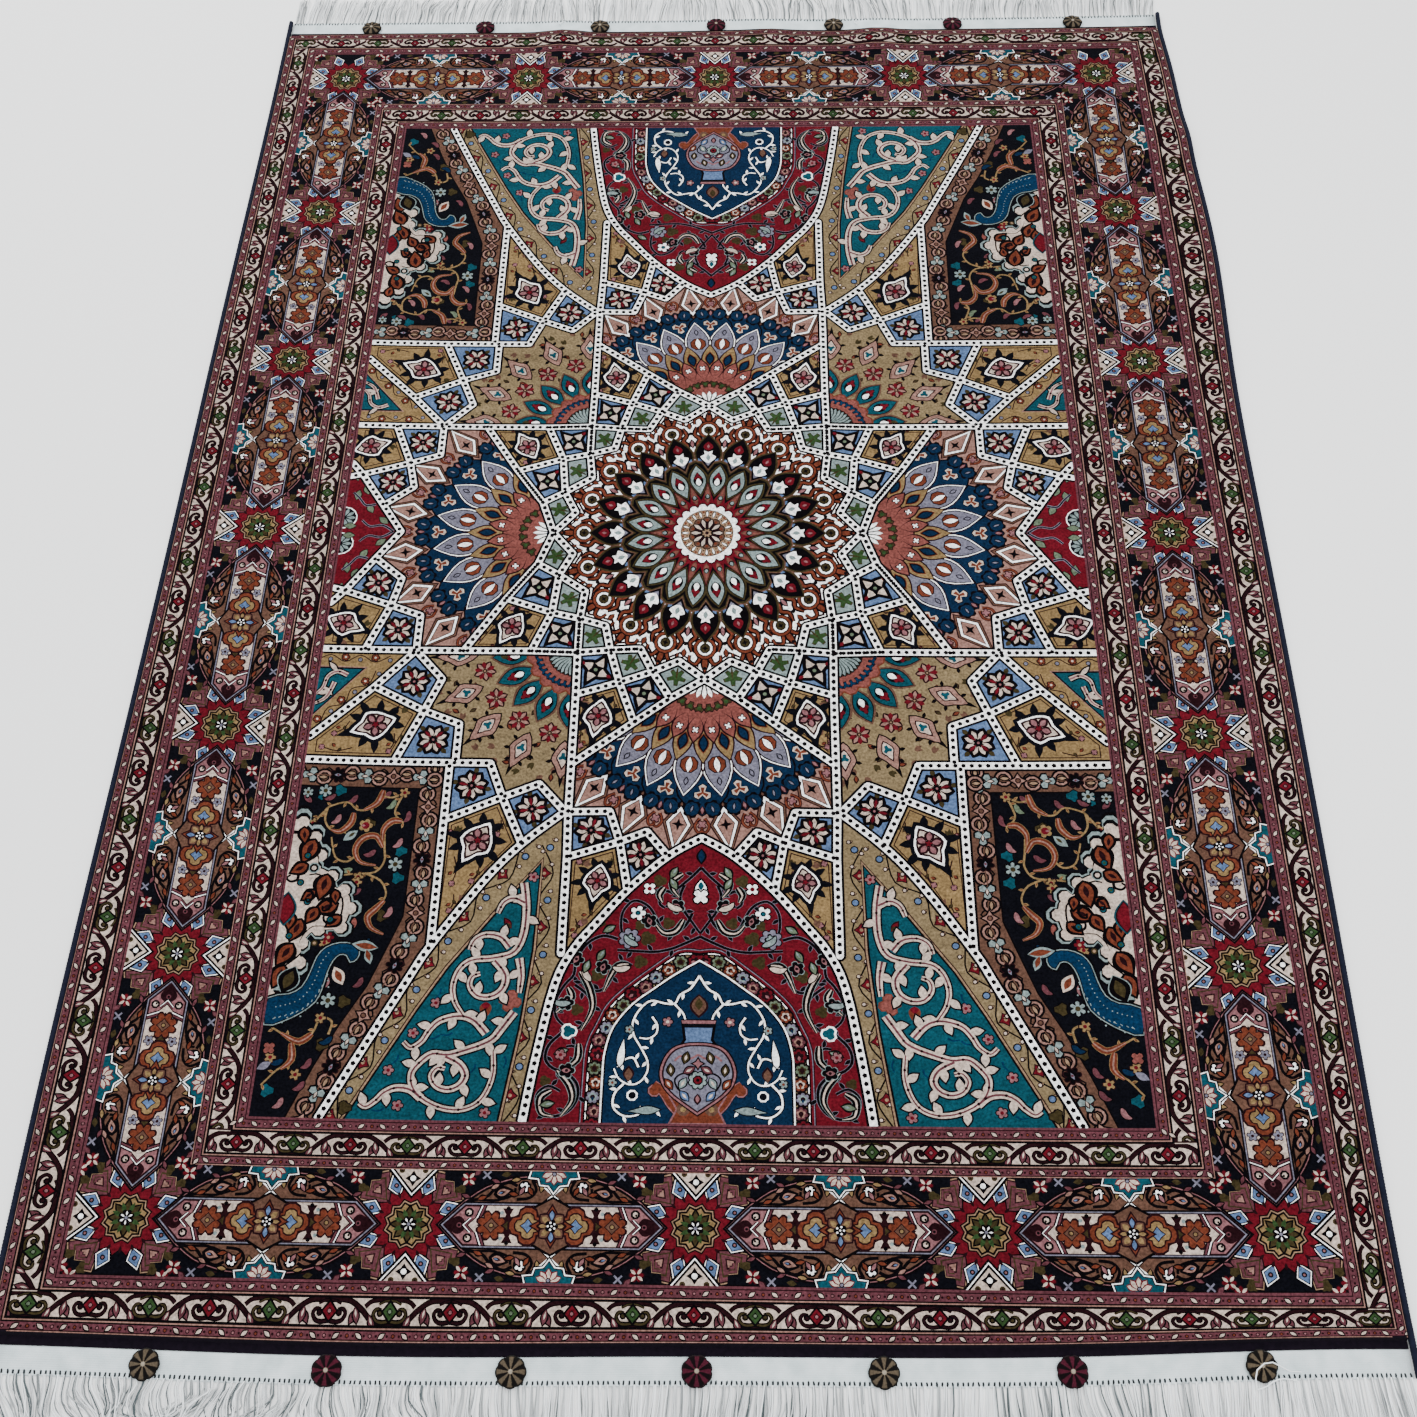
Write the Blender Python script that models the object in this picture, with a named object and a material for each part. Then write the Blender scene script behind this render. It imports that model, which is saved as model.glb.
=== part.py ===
"""A hand-knotted wool rug lying on a floor, with flat-woven ends, cotton fringes and sewn-on rosettes.

Its weave is measured from its middle: u runs across it, to the right, and v along it, to the far end.
lie() says where a point of the weave comes to rest, because a woven rug never lies quite square or flat.
"""

import math
import random

import bmesh
import bpy

MM = 0.001

# The pile: wool knots on a cotton foundation, one slab
PILE_HALF_WIDTH = 744 * MM
PILE_HALF_LENGTH = 1061 * MM
PILE_THICK = 9 * MM
END_ROWS = 12 * MM  # flat dark rows that close the pile at each end
END_ROWS_THICK = 3 * MM
END_STEP = 3 * MM  # how far the pile takes to come down to them
SIDE_ROUNDING = 3 * MM  # how far in from the side the pile starts to round over
SIDE_DROP = 2 * MM
COLUMNS = 36
ROWS = 22

# The cords overcast along both sides, which run on past the pile beside the flat weave
CORD_RADIUS = 4 * MM
CORD_GAP = 0.5 * MM

# The flat-woven cotton ends and the fringe, which is their own warp
KILIM_WIDTH = 29 * MM
KILIM_THICK = 2 * MM
GAP = 0.4 * MM
LOCKS = 88  # on each end
LOCK_ROOT_SHARE = 0.45  # of a lock's pitch, taken up by its root
LOCK_LENGTH = 74 * MM
LOCK_STEPS = ((0.3, 7.0, 3.0), (0.68, 7.5, 3.2), (1.0, 3.5, 1.6))  # share of length, width and height in mm
LOCK_SWAY = 2.2 * MM
WIND = ((0.9, 1.7, 5), (2.3, 0.6, 3))  # turns across the rug, phase, sway in mm: how whole tufts lean
SEED = 7

# The rosettes: little wool buttons, seven on each flat-woven end
ROSETTES = 7
ROSETTE_ROWS = {"near": (194, 4, 15.5), "far": (200, 1, 10)}  # pitch, shift right, way from the pile in mm
ROSETTE_RADIUS = 17 * MM
ROSETTE_PROFILE = ((0, 10.2), (8, 9.8), (16, 7.6), (17, 5.4), (6, 2.5), (0, 2.5))  # radius, height in mm
ROSETTE_PETALS = 8
ROSETTE_NOTCH = 0.93  # a notch's radius, as a share of a petal's

# How the rug lies. Amounts are in mm, and s and t run from -1 to 1 across and along it.
LAID_X, LAID_Y = -2.7, 3.3  # the weave's middle, seen from the middle of the whole rug's box
FAR_LEAN = 7  # the far end leans this far left, and the near end this far right
MIDDLE_LEFT = 4  # the middle sits this far left of the sides
BOW_LEFT, BOW_RIGHT = 17, 4  # the rows of knots bow to the far end at the sides
SAG = 11  # and back at the quarters of its length
END_SPREAD, FAR_SHIFT = 3, 2
SIDE_BAND = 64 * MM  # the strip along a side that a side pull moves
END_BAND = 60 * MM

# side (-1 left, 1 right), v of its middle, reach and push to the right, all in mm
SIDE_PULLS = (
    (-1, -800, 500, -8),
    (-1, 900, 400, 4),
    (1, -950, 300, -5),
    (1, -100, 350, 3),
    (1, 545, 225, 13),
    (1, 1050, 80, -6),
)
# end (-1 near, 1 far), u of its middle, reach and push to the far end, all in mm
END_PULLS = (
    (-1, 700, 280, 14),
    (-1, -350, 300, -7),
    (1, 0, 2000, -8),
    (1, 60, 90, 3),
)
# ripples: u, v, reach across, reach along, height, all in mm
RIPPLES = (
    (-262, 1030, 34, 52, 8),
    (92, 1040, 30, 34, 3),
    (274, 1030, 34, 52, 7),
    (752, 775, 70, 42, 7),
    (-40, -1062, 120, 40, 2),
)

WOOL = (0.155, 0.070, 0.080)
NAVY_WOOL = (0.012, 0.012, 0.025)
COTTON = (0.66, 0.70, 0.70)
ROSETTE_WOOLS = {"brown": (0.13, 0.085, 0.055), "maroon": (0.10, 0.016, 0.030)}


def bump(distance, reach):
    """1 at no distance, and near 0 past about twice the reach."""
    return math.exp(-((distance / reach) ** 2))


def ramp(value, start, end):
    """0 before start, 1 after end, smooth between."""
    share = min(1.0, max(0.0, (value - start) / (end - start)))
    return share * share * (3 - 2 * share)


def lie(u, v):
    """Where the weave's point (u, v) lies: x, y and how far a ripple lifts it."""
    s, t = u / PILE_HALF_WIDTH, v / PILE_HALF_LENGTH
    x = LAID_X - FAR_LEAN * t * (1 + (s - s * s) / 2) - MIDDLE_LEFT * (1 - 1.5 * s * s)
    bow = BOW_LEFT * math.cos(math.pi * t / 2) if s < 0 else BOW_RIGHT
    y = LAID_Y + END_SPREAD * t * t + FAR_SHIFT * t + bow * s**4
    y -= SAG * max(0.0, 1 - s**4) * math.sin(math.pi * t) ** 2
    for side, middle, reach, push in SIDE_PULLS:
        near_side = ramp(side * u, PILE_HALF_WIDTH - SIDE_BAND, PILE_HALF_WIDTH)
        x += push * near_side * bump(v / MM - middle, reach)
    for end, middle, reach, push in END_PULLS:
        near_end = ramp(end * v, PILE_HALF_LENGTH - END_BAND, PILE_HALF_LENGTH)
        y += push * near_end * bump(u / MM - middle, reach)
    lift = sum(
        height * bump(u / MM - ripple_u, across) * bump(v / MM - ripple_v, along)
        for ripple_u, ripple_v, across, along, height in RIPPLES
    )
    return u + x * MM, v + y * MM, lift * MM


def clear_scene():
    for obj in list(bpy.data.objects):
        bpy.data.objects.remove(obj)


def material(name, color, roughness=0.95):
    made = bpy.data.materials.new(name)
    made.use_nodes = True
    shader = made.node_tree.nodes["Principled BSDF"]
    shader.inputs["Base Color"].default_value = (*color, 1)
    shader.inputs["Roughness"].default_value = roughness
    shader.inputs["Metallic"].default_value = 0
    made.diffuse_color = (*color, 1)
    return made


def add_object(name, mesh, surface):
    obj = bpy.data.objects.new(name, mesh)
    obj.data.materials.append(surface)
    rug.objects.link(obj)
    return obj


def add_bmesh(name, shape, surface):
    bmesh.ops.recalc_face_normals(shape, faces=shape.faces)
    mesh = bpy.data.meshes.new(name)
    shape.to_mesh(mesh)
    shape.free()
    return add_object(name, mesh, surface)


def spread(first, last, count):
    return [first + (last - first) * k / count for k in range(count + 1)]


def crowded(half, count):
    """Stations from -half to half that crowd towards both ends, where the ripples are."""
    return [half * p * (1.4 - 0.4 * p * p) for p in spread(-1, 1, count)]


def slab_grid(shape, us, vs):
    """A grid with its lines at the stations us and vs. Returns each vertex with its column and row."""
    bmesh.ops.create_grid(shape, x_segments=len(us) - 1, y_segments=len(vs) - 1, size=1)
    placed = []
    for vert in shape.verts:
        column = round((vert.co.x + 1) / 2 * (len(us) - 1))
        row = round((vert.co.y + 1) / 2 * (len(vs) - 1))
        placed.append((vert, us[column], vs[row]))
    return placed


def pile_height(u, v):
    """The pile's thickness: full inside, rounded over at the sides and thin at the end rows."""
    pile_end = PILE_HALF_LENGTH - END_ROWS
    into_end = ramp(abs(v), pile_end, pile_end + END_STEP)
    thick = PILE_THICK + (END_ROWS_THICK - PILE_THICK) * into_end
    at_side = ramp(abs(u), PILE_HALF_WIDTH - SIDE_ROUNDING, PILE_HALF_WIDTH)
    return min(thick, PILE_THICK - SIDE_DROP * at_side)


def add_pile():
    """One slab whose underside rests on the floor but for the ripples."""
    inner_u, inner_v = PILE_HALF_WIDTH - SIDE_ROUNDING, PILE_HALF_LENGTH - END_ROWS
    us = [-PILE_HALF_WIDTH, *spread(-inner_u, inner_u, COLUMNS), PILE_HALF_WIDTH]
    step_v = inner_v + END_STEP
    vs = [-PILE_HALF_LENGTH, -step_v, *crowded(inner_v, ROWS), step_v, PILE_HALF_LENGTH]
    shape = bmesh.new()
    placed = slab_grid(shape, us, vs)
    thick = {}
    for vert, u, v in placed:
        vert.co = lie(u, v)
        thick[vert.co.copy().freeze()] = pile_height(u, v)
    grown = bmesh.ops.extrude_face_region(shape, geom=list(shape.faces))
    for vert in grown["geom"]:
        if isinstance(vert, bmesh.types.BMVert):
            vert.co.z += thick[vert.co.copy().freeze()]
    return add_bmesh("pile", shape, material("pile_wool", WOOL))


def add_side_cord(name, side, surface):
    """A cord beside the pile, from the outer edge of one flat-woven end to that of the other."""
    u = side * (PILE_HALF_WIDTH + CORD_GAP + CORD_RADIUS)
    reach = PILE_HALF_LENGTH + KILIM_WIDTH
    curve = bpy.data.curves.new(name, "CURVE")
    curve.dimensions = "3D"
    curve.bevel_depth = CORD_RADIUS
    curve.bevel_resolution = 2
    curve.use_fill_caps = True
    stations = [-reach, *crowded(PILE_HALF_LENGTH, 30), reach]
    spline = curve.splines.new("POLY")
    spline.points.add(len(stations) - 1)
    for point, v in zip(spline.points, stations):
        x, y, lift = lie(u, v)
        point.co = (x, y, lift + CORD_RADIUS, 1)
    return add_object(name, curve, surface)


def wind(u):
    """How far the fringe's tufts lean sideways at u."""
    return sum(
        sway * math.sin(2 * math.pi * (turns * u / PILE_HALF_WIDTH) + phase) for turns, phase, sway in WIND
    )


def add_woven_end(name, end, surface):
    """A flat-woven strip with the fringe's locks drawn out of its outer edge, one body."""
    chance = random.Random(SEED + end)
    half = PILE_HALF_WIDTH
    pitch = 2 * half / LOCKS
    root = pitch * LOCK_ROOT_SHARE
    us = [-half]
    for k in range(LOCKS):
        middle = -half + (k + 0.5) * pitch
        us += [middle - root / 2, middle + root / 2]
    us.append(half)
    inner = PILE_HALF_LENGTH + GAP
    outer = inner + KILIM_WIDTH
    shape = bmesh.new()
    for vert, u, v in slab_grid(shape, us, [inner, outer]):
        vert.co = (u, v, 0)
    grown = bmesh.ops.extrude_face_region(shape, geom=list(shape.faces))
    for vert in grown["geom"]:
        if isinstance(vert, bmesh.types.BMVert):
            vert.co.z += KILIM_THICK
    rim = [face for face in shape.faces if all(vert.co.y > outer - GAP / 2 for vert in face.verts)]
    rim.sort(key=lambda face: face.calc_center_median().x)
    tips = rim[1::2]  # every other face along the outer edge is a lock's root
    lengths = [LOCK_LENGTH * chance.uniform(0.86, 1.0) for _ in tips]
    for share, width, height in LOCK_STEPS:
        tips = bmesh.ops.extrude_discrete_faces(shape, faces=tips)["faces"]
        tips.sort(key=lambda face: face.calc_center_median().x)
        for k, face in enumerate(tips):
            own = -half + (k + 0.5) * pitch
            lean = wind(own) * MM * share + chance.uniform(-LOCK_SWAY, LOCK_SWAY)
            middle = face.calc_center_median()
            for vert in face.verts:
                right = vert.co.x > middle.x
                vert.co.x = own + lean + (width if right else -width) * MM / 2
                vert.co.z = height * MM if vert.co.z > middle.z else 0
                vert.co.y = outer + lengths[k] * share
    for vert in shape.verts:
        x, y, lift = lie(vert.co.x, end * vert.co.y)
        vert.co = (x, y, vert.co.z + lift)
    return add_bmesh(name, shape, surface)


def rosette_mesh(surface):
    """A domed button on a small foot, notched between its petals, turned about Z."""
    shape = bmesh.new()
    points = [shape.verts.new((radius * MM, 0, height * MM)) for radius, height in ROSETTE_PROFILE]
    line = [shape.edges.new(pair) for pair in zip(points, points[1:])]
    steps = 2 * ROSETTE_PETALS
    bmesh.ops.spin(
        shape, geom=points + line, axis=(0, 0, 1), cent=(0, 0, 0), angle=2 * math.pi, steps=steps
    )
    bmesh.ops.remove_doubles(shape, verts=shape.verts, dist=1e-5)
    for vert in shape.verts:
        place = round(math.atan2(vert.co.y, vert.co.x) / (2 * math.pi) * steps)
        if place % 2 and vert.co.xy.length > ROSETTE_RADIUS * 0.8:
            vert.co.xy *= ROSETTE_NOTCH
    bmesh.ops.recalc_face_normals(shape, faces=shape.faces)
    mesh = bpy.data.meshes.new("rosette")
    shape.to_mesh(mesh)
    shape.free()
    mesh.materials.append(surface)
    return mesh


def add_rosettes(end_name, end, meshes):
    pitch, shift, from_pile = (size * MM for size in ROSETTE_ROWS[end_name])
    for k in range(ROSETTES):
        u = (k - (ROSETTES - 1) / 2) * pitch + shift
        obj = bpy.data.objects.new(f"rosette_{end_name}_{k + 1}", meshes[k % 2])
        obj.location = lie(u, end * (PILE_HALF_LENGTH + from_pile))
        rug.objects.link(obj)


clear_scene()
rug = bpy.data.collections.new("persian_rug")
bpy.context.scene.collection.children.link(rug)
add_pile()
navy = material("side_cord_wool", NAVY_WOOL)
add_side_cord("side_cord_left", -1, navy)
add_side_cord("side_cord_right", 1, navy)
cotton = material("end_cotton", COTTON)
add_woven_end("woven_end_near", -1, cotton)
add_woven_end("woven_end_far", 1, cotton)
rosette_meshes = [
    rosette_mesh(material(f"rosette_{name}", color)) for name, color in ROSETTE_WOOLS.items()
]
add_rosettes("near", -1, rosette_meshes)
add_rosettes("far", 1, rosette_meshes)
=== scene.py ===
# %% [markdown]
# # A hand-knotted Persian rug
# A wool rug of about 1.5 by 2.3 metres lies flat on a floor. Its pile carries a dome design in two dozen
# dyed wools, its ends are flat-woven cotton with a fringe, and fourteen little wool rosettes are sewn on.
# The CAD model holds the solids. This script gives each of them its real surface: the design knotted in the
# pile, the overcast sides, the ribs and stitches of the ends, and every yarn of the fringe.

# %% Load the frame
import cmath
import math
import random

import bmesh
import bpy
import numpy as np
from mathutils import Matrix, Vector
from mathutils.bvhtree import BVHTree
from mathutils.geometry import delaunay_2d_cdt


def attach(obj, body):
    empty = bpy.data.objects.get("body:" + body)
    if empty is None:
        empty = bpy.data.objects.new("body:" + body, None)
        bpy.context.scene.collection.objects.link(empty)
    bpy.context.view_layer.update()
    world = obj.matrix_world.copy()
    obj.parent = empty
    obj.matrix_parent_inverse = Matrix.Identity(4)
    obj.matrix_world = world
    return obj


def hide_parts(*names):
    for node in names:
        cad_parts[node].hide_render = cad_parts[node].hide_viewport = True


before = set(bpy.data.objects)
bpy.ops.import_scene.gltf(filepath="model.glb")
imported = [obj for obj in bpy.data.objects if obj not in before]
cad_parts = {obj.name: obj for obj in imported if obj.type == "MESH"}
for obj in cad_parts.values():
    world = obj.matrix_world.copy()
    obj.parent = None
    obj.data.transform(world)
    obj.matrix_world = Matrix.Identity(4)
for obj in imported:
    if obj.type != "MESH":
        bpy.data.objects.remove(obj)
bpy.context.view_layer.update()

MM = 0.001

# %% [markdown]
# ## How the rug lies
# A woven rug never lies quite square: its sides are pulled in and out by the weaver's tension and its ends
# ripple. The design is drawn square, and lie() carries each of its points to where the CAD rug has it. The
# amounts are the ones in the part's source, so the design stays on the solid.

# %% The lie of the rug
HALF_WIDTH, HALF_LENGTH = 744 * MM, 1061 * MM  # of the pile, with its end rows
PILE_TOP, END_ROWS_TOP = 9 * MM, 3 * MM
END_ROWS, END_STEP = 12 * MM, 3 * MM
SIDE_ROUNDING, SIDE_DROP = 3 * MM, 2 * MM
CORD_RADIUS, CORD_LINE, CORD_REACH = 4 * MM, 748.5 * MM, 1090 * MM
KILIM_INNER, KILIM_OUTER, KILIM_TOP = 1061.4 * MM, 1090.4 * MM, 2 * MM
FRINGE_LENGTH = 74 * MM
LAID_X, LAID_Y = -2.7, 3.3
FAR_LEAN, MIDDLE_LEFT, BOW_LEFT, BOW_RIGHT, SAG, END_SPREAD, FAR_SHIFT = 7, 4, 17, 4, 11, 3, 2  # in mm
SIDE_BAND, END_BAND = 64 * MM, 60 * MM
# side, v, reach and push to the right, in mm
SIDE_PULLS = (
    (-1, -800, 500, -8), (-1, 900, 400, 4), (1, -950, 300, -5), (1, -100, 350, 3), (1, 545, 225, 13),
    (1, 1050, 80, -6),
)
# end, u, reach and push to the far end, in mm
END_PULLS = ((-1, 700, 280, 14), (-1, -350, 300, -7), (1, 0, 2000, -8), (1, 60, 90, 3))
# u, v, reach across and along, and height, in mm
RIPPLES = (
    (-262, 1030, 34, 52, 8), (92, 1040, 30, 34, 3), (274, 1030, 34, 52, 7), (752, 775, 70, 42, 7),
    (-40, -1062, 120, 40, 2),
)


def ramp(value, start, end):
    """0 before start, 1 after end, smooth between."""
    share = np.clip((value - start) / (end - start), 0, 1)
    return share * share * (3 - 2 * share)


def bell(value, middle, reach):
    """1 at the middle, fading to nothing past reach. The value is in metres, the others in mm."""
    return np.exp(-(((value / MM - middle) / reach) ** 2))


def lie(u, v):
    """Where points of the weave rest, in metres: x, y and the lift of a ripple."""
    u, v = np.asarray(u, float), np.asarray(v, float)
    s, t = u / HALF_WIDTH, v / HALF_LENGTH
    x = LAID_X - FAR_LEAN * t * (1 + (s - s * s) / 2) - MIDDLE_LEFT * (1 - 1.5 * s * s)
    bow = np.where(s < 0, BOW_LEFT * np.cos(math.pi * t / 2), BOW_RIGHT)
    y = LAID_Y + END_SPREAD * t * t + FAR_SHIFT * t + bow * s**4
    y = y - SAG * np.maximum(0, 1 - s**4) * np.sin(math.pi * t) ** 2
    for side, middle, reach, push in SIDE_PULLS:
        x = x + push * ramp(side * u, HALF_WIDTH - SIDE_BAND, HALF_WIDTH) * bell(v, middle, reach)
    for end, middle, reach, push in END_PULLS:
        y = y + push * ramp(end * v, HALF_LENGTH - END_BAND, HALF_LENGTH) * bell(u, middle, reach)
    lift = sum(high * bell(u, at_u, across) * bell(v, at_v, along) for at_u, at_v, across, along,
        high in RIPPLES)
    return u + x * MM, v + y * MM, lift * MM


def pile_height(u, v):
    """The pile's thickness at points of the weave."""
    pile_end = HALF_LENGTH - END_ROWS
    thick = PILE_TOP + (END_ROWS_TOP - PILE_TOP) * ramp(np.abs(v), pile_end, pile_end + END_STEP)
    return np.minimum(thick, PILE_TOP - SIDE_DROP * ramp(np.abs(u), HALF_WIDTH - SIDE_ROUNDING, HALF_WIDTH))


corner_x, corner_y, _ = lie([-HALF_WIDTH, HALF_WIDTH], [-HALF_LENGTH, -HALF_LENGTH])
print("near corners of the pile in mm:", np.round(corner_x / MM), np.round(corner_y / MM))

# %% [markdown]
# ## Camera, floor and light
# The photo was taken standing over the near end, looking down. The camera repeats that: its place, angle
# and lens were worked out from the rug's corners and border lines. The light is a large soft window.

# %% Camera
def add_object(name, data):
    made = bpy.data.objects.new(name, data)
    bpy.context.scene.collection.objects.link(made)
    return made


camera_data = bpy.data.cameras.new("camera")
camera_data.sensor_width, camera_data.lens, camera_data.clip_end = 36, 41.41, 100
camera = add_object("camera", camera_data)
camera.location = Vector((68.9 + LAID_X, -1330.7 + LAID_Y, 1824.3)) * MM
camera.rotation_euler = [math.radians(angle) for angle in (30.112, 1.405, 1.132)]
bpy.context.scene.camera = camera


# %% Colour and node helpers
def linear(hex_color):
    """A colour given as an sRGB hex value, in linear light, with 1 for its cover."""
    parts = [int(hex_color[k : k + 2], 16) / 255 for k in (1, 3, 5)]
    return [*(p / 12.92 if p <= 0.04045 else ((p + 0.055) / 1.055) ** 2.4 for p in parts), 1]


def add_node(material, kind, settings=(), **inputs):
    """A node with its settings and its inputs. An input is a value or another node's output."""
    made = material.node_tree.nodes.new(kind)
    for name, value in dict(settings).items():
        setattr(made, name, value)
    for name, value in inputs.items():
        key = int(name[1:]) if name[1:].isdigit() else name.replace("_", " ")
        if isinstance(value, bpy.types.NodeSocket):
            material.node_tree.links.new(value, made.inputs[key])
        else:
            made.inputs[key].default_value = value
    return made


def noise(material, place, size, detail=2.0):
    return add_node(material, "ShaderNodeTexNoise", Vector=place, Scale=1 / size, Detail=detail).outputs[0]


def ranged(material, source, low, high, start=0.25, end=0.75):
    """The source's values from start to end, spread from low to high."""
    return add_node(material, "ShaderNodeMapRange", _0=source, _1=start, _2=end, _3=low, _4=high).outputs[0]


def maths(material, operation, *values):
    inputs = {f"_{k}": value for k, value in enumerate(values)}
    return add_node(material, "ShaderNodeMath", {"operation": operation}, **inputs).outputs[0]


def shaded(material, color, shade):
    return add_node(material, "ShaderNodeVectorMath", {"operation": "SCALE"}, _0=color,
        Scale=shade).outputs[0]


def new_material(name, roughness, sheen=0.0, specular=0.15):
    """A material whose constants sit on the shader's own sockets. Returns it and its shader."""
    made = bpy.data.materials.new(name)
    made.use_nodes = True
    shader = made.node_tree.nodes["Principled BSDF"]
    shader.inputs["Roughness"].default_value = roughness
    shader.inputs["Sheen Weight"].default_value = sheen
    shader.inputs["Sheen Roughness"].default_value = 0.5
    shader.inputs["Specular IOR Level"].default_value = specular
    return made, shader


def finish_material(material, shader, color, height, strength, distance):
    """Plugs a colour and a bump into the shader."""
    bump = add_node(material, "ShaderNodeBump", Height=height, Strength=strength, Distance=distance)
    material.node_tree.links.new(color, shader.inputs["Base Color"])
    material.node_tree.links.new(bump.outputs[0], shader.inputs["Normal"])
    return material


# %% Floor and light
floor_mesh = bmesh.new()
bmesh.ops.create_grid(floor_mesh, x_segments=1, y_segments=1, size=6)
floor_data = bpy.data.meshes.new("floor")
floor_mesh.to_mesh(floor_data)
floor_mesh.free()
add_object("floor", floor_data)
plaster, plaster_shader = new_material("pale_plaster_floor", 0.85)
plaster_shader.inputs["Base Color"].default_value = linear("#faf9f8")
floor_data.materials.append(plaster)

world = bpy.data.worlds.new("soft_room")
world.use_nodes = True
world.node_tree.nodes["Background"].inputs["Color"].default_value = (0.95, 0.98, 1, 1)
world.node_tree.nodes["Background"].inputs["Strength"].default_value = 1.44
bpy.context.scene.world = world


def soft_light(name, place, size, watts):
    """A square lamp that faces the rug's middle."""
    data = bpy.data.lights.new(name, "AREA")
    data.energy, data.size = watts, size
    made = add_object(name, data)
    made.location = place
    made.rotation_euler = (-Vector(place)).to_track_quat("-Z", "Y").to_euler()


soft_light("window", (-1.6, 2.8, 3.0), 2.4, 131)
soft_light("ceiling", (1.0, -0.8, 3.4), 2.8, 94)

# %% [markdown]
# ## A drawing kit for the design
# A rug weaver follows a cartoon: a drawing in flat colours, painted one shape over another. The same is done
# here. A shape is a yarn's name and its outline, a motif is a list of shapes with the lowest first, and a
# point is a complex number in millimetres, because turning, moving and mirroring it is then one sum. Motifs
# are drawn around zero, pointing along the real axis, so that place() can set them anywhere.

# %% The drawing kit


def place(motif, at=0, turn=0, size=1, flip=False):
    """The motif moved to a point, turned in degrees, resized and, if asked, mirrored."""
    swing = cmath.rect(size, math.radians(turn))
    return [(yarn, [at + swing * (p.conjugate() if flip else p) for p in line]) for yarn, line in motif]


def scatter(motif, *spots):
    """Copies of a motif, each one at a point or at a point and a turn."""
    made = []
    for spot in spots:
        made += place(motif, *spot) if isinstance(spot, tuple) else place(motif, spot)
    return made


def both_ways(motif):
    """The motif and its mirror image across the real axis."""
    return motif + place(motif, flip=True)


def polar(radius, degrees):
    return cmath.rect(radius, math.radians(degrees))


def around(motif, count, radius=0, start=0, turned=0):
    """Copies of a motif set out evenly on a circle, each one pointing outwards."""
    made = []
    for k in range(count):
        angle = start + 360 * k / count
        made += place(motif, polar(radius, angle), angle + turned)
    return made


def circle(radius, at=0, sides=8):
    return [at + polar(radius, 360 * (k + 0.5) / sides) for k in range(sides)]


def star(points, outer, inner, start=0):
    return [polar(inner if k % 2 else outer, start + 180 * k / points) for k in range(2 * points)]


def lobed(lobes, radius, notch, steps=4, start=0):
    """A round flower's outline, with round petals and sharp notches between them."""
    outline = []
    for k in range(lobes * steps):
        swell = abs(math.sin(math.pi * (k % steps) / steps)) ** 0.6
        outline.append(polar(notch + (radius - notch) * swell, start + 360 * k / (lobes * steps)))
    return outline


def petal(length, width, start=0, belly=0.5, steps=4):
    """A pointed leaf along the real axis, widest at belly, a share of its length."""
    side = []
    for k in range(1, 2 * steps):
        share = k / (2 * steps)
        swell = math.sin(math.pi * share ** (math.log(0.5) / math.log(belly)))
        side.append(complex(start + length * share, width / 2 * swell))
    return [complex(start, 0), *side, complex(start + length, 0), *[p.conjugate() for p in reversed(side)]]


def discs(*rows):
    """Discs over each other, each one given as a yarn, radius, middle and number of sides."""
    return [(yarn, circle(*size)) for yarn, *size in rows]


def petals(*rows):
    """Petals over each other, each one given as a yarn, length, width, start and belly."""
    return [(yarn, petal(*size)) for yarn, *size in rows]


def through(points, steps=4, closed=False):
    """A smooth curve through a few points."""
    count = len(points)
    curve = []
    for k in range(count if closed else count - 1):
        before, here = points[k - 1] if closed or k else points[0], points[k]
        after = points[(k + 1) % count]
        later = points[(k + 2) % count] if closed or k + 2 < count else points[-1]
        for step in range(steps):
            t = step / steps
            bend = 2 * before - 5 * here + 4 * after - later
            swing = 3 * here - before - 3 * after + later
            curve.append(here + 0.5 * t * (after - before + t * (bend + t * swing)))
    return curve if closed else curve + [points[-1]]


def area(outline):
    """Twice the area inside an outline, positive where its corners run anticlockwise."""
    return sum((outline[k - 1].conjugate() * outline[k]).imag for k in range(len(outline)))


def grown(outline, by):
    """The outline moved out by a distance, or in where it is negative."""
    out = -1j if area(outline) > 0 else 1j
    moved = []
    for k, here in enumerate(outline):
        into, away = here - outline[k - 1], outline[(k + 1) % len(outline)] - here
        into, away = into / (abs(into) or 1), away / (abs(away) or 1)
        corner = into + away
        share = abs(corner) / 2
        moved.append(here + by * out * corner / (abs(corner) or 1) / max(share, 0.5))
    return moved


def rimmed(outline, *rows):
    """An outline over itself, each time in another yarn and grown by another distance."""
    return [(yarn, grown(outline, by)) for yarn, by in rows]


def scaled(outline, about, *rows):
    """An outline over itself, each time in another yarn and at another size about a point."""
    return [(yarn, [about + size * (p - about) for p in outline]) for yarn, size in rows]


def edged(yarn, outline, edge="black", width=1.5):
    return [(edge, grown(outline, width)), (yarn, outline)]


def ribbon(yarn, line, width, end_width=None):
    """A band of yarn along a line of points, wide at its start and end_width at its end."""
    end_width = width if end_width is None else end_width
    left, right = [], []
    for k, here in enumerate(line):
        way = line[min(k + 1, len(line) - 1)] - line[max(k - 1, 0)]
        half = (width + (end_width - width) * k / (len(line) - 1)) / 2
        side = 1j * way / (abs(way) or 1) * half
        left.append(here + side)
        right.append(here - side)
    return [(yarn, left + right[::-1])]


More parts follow.
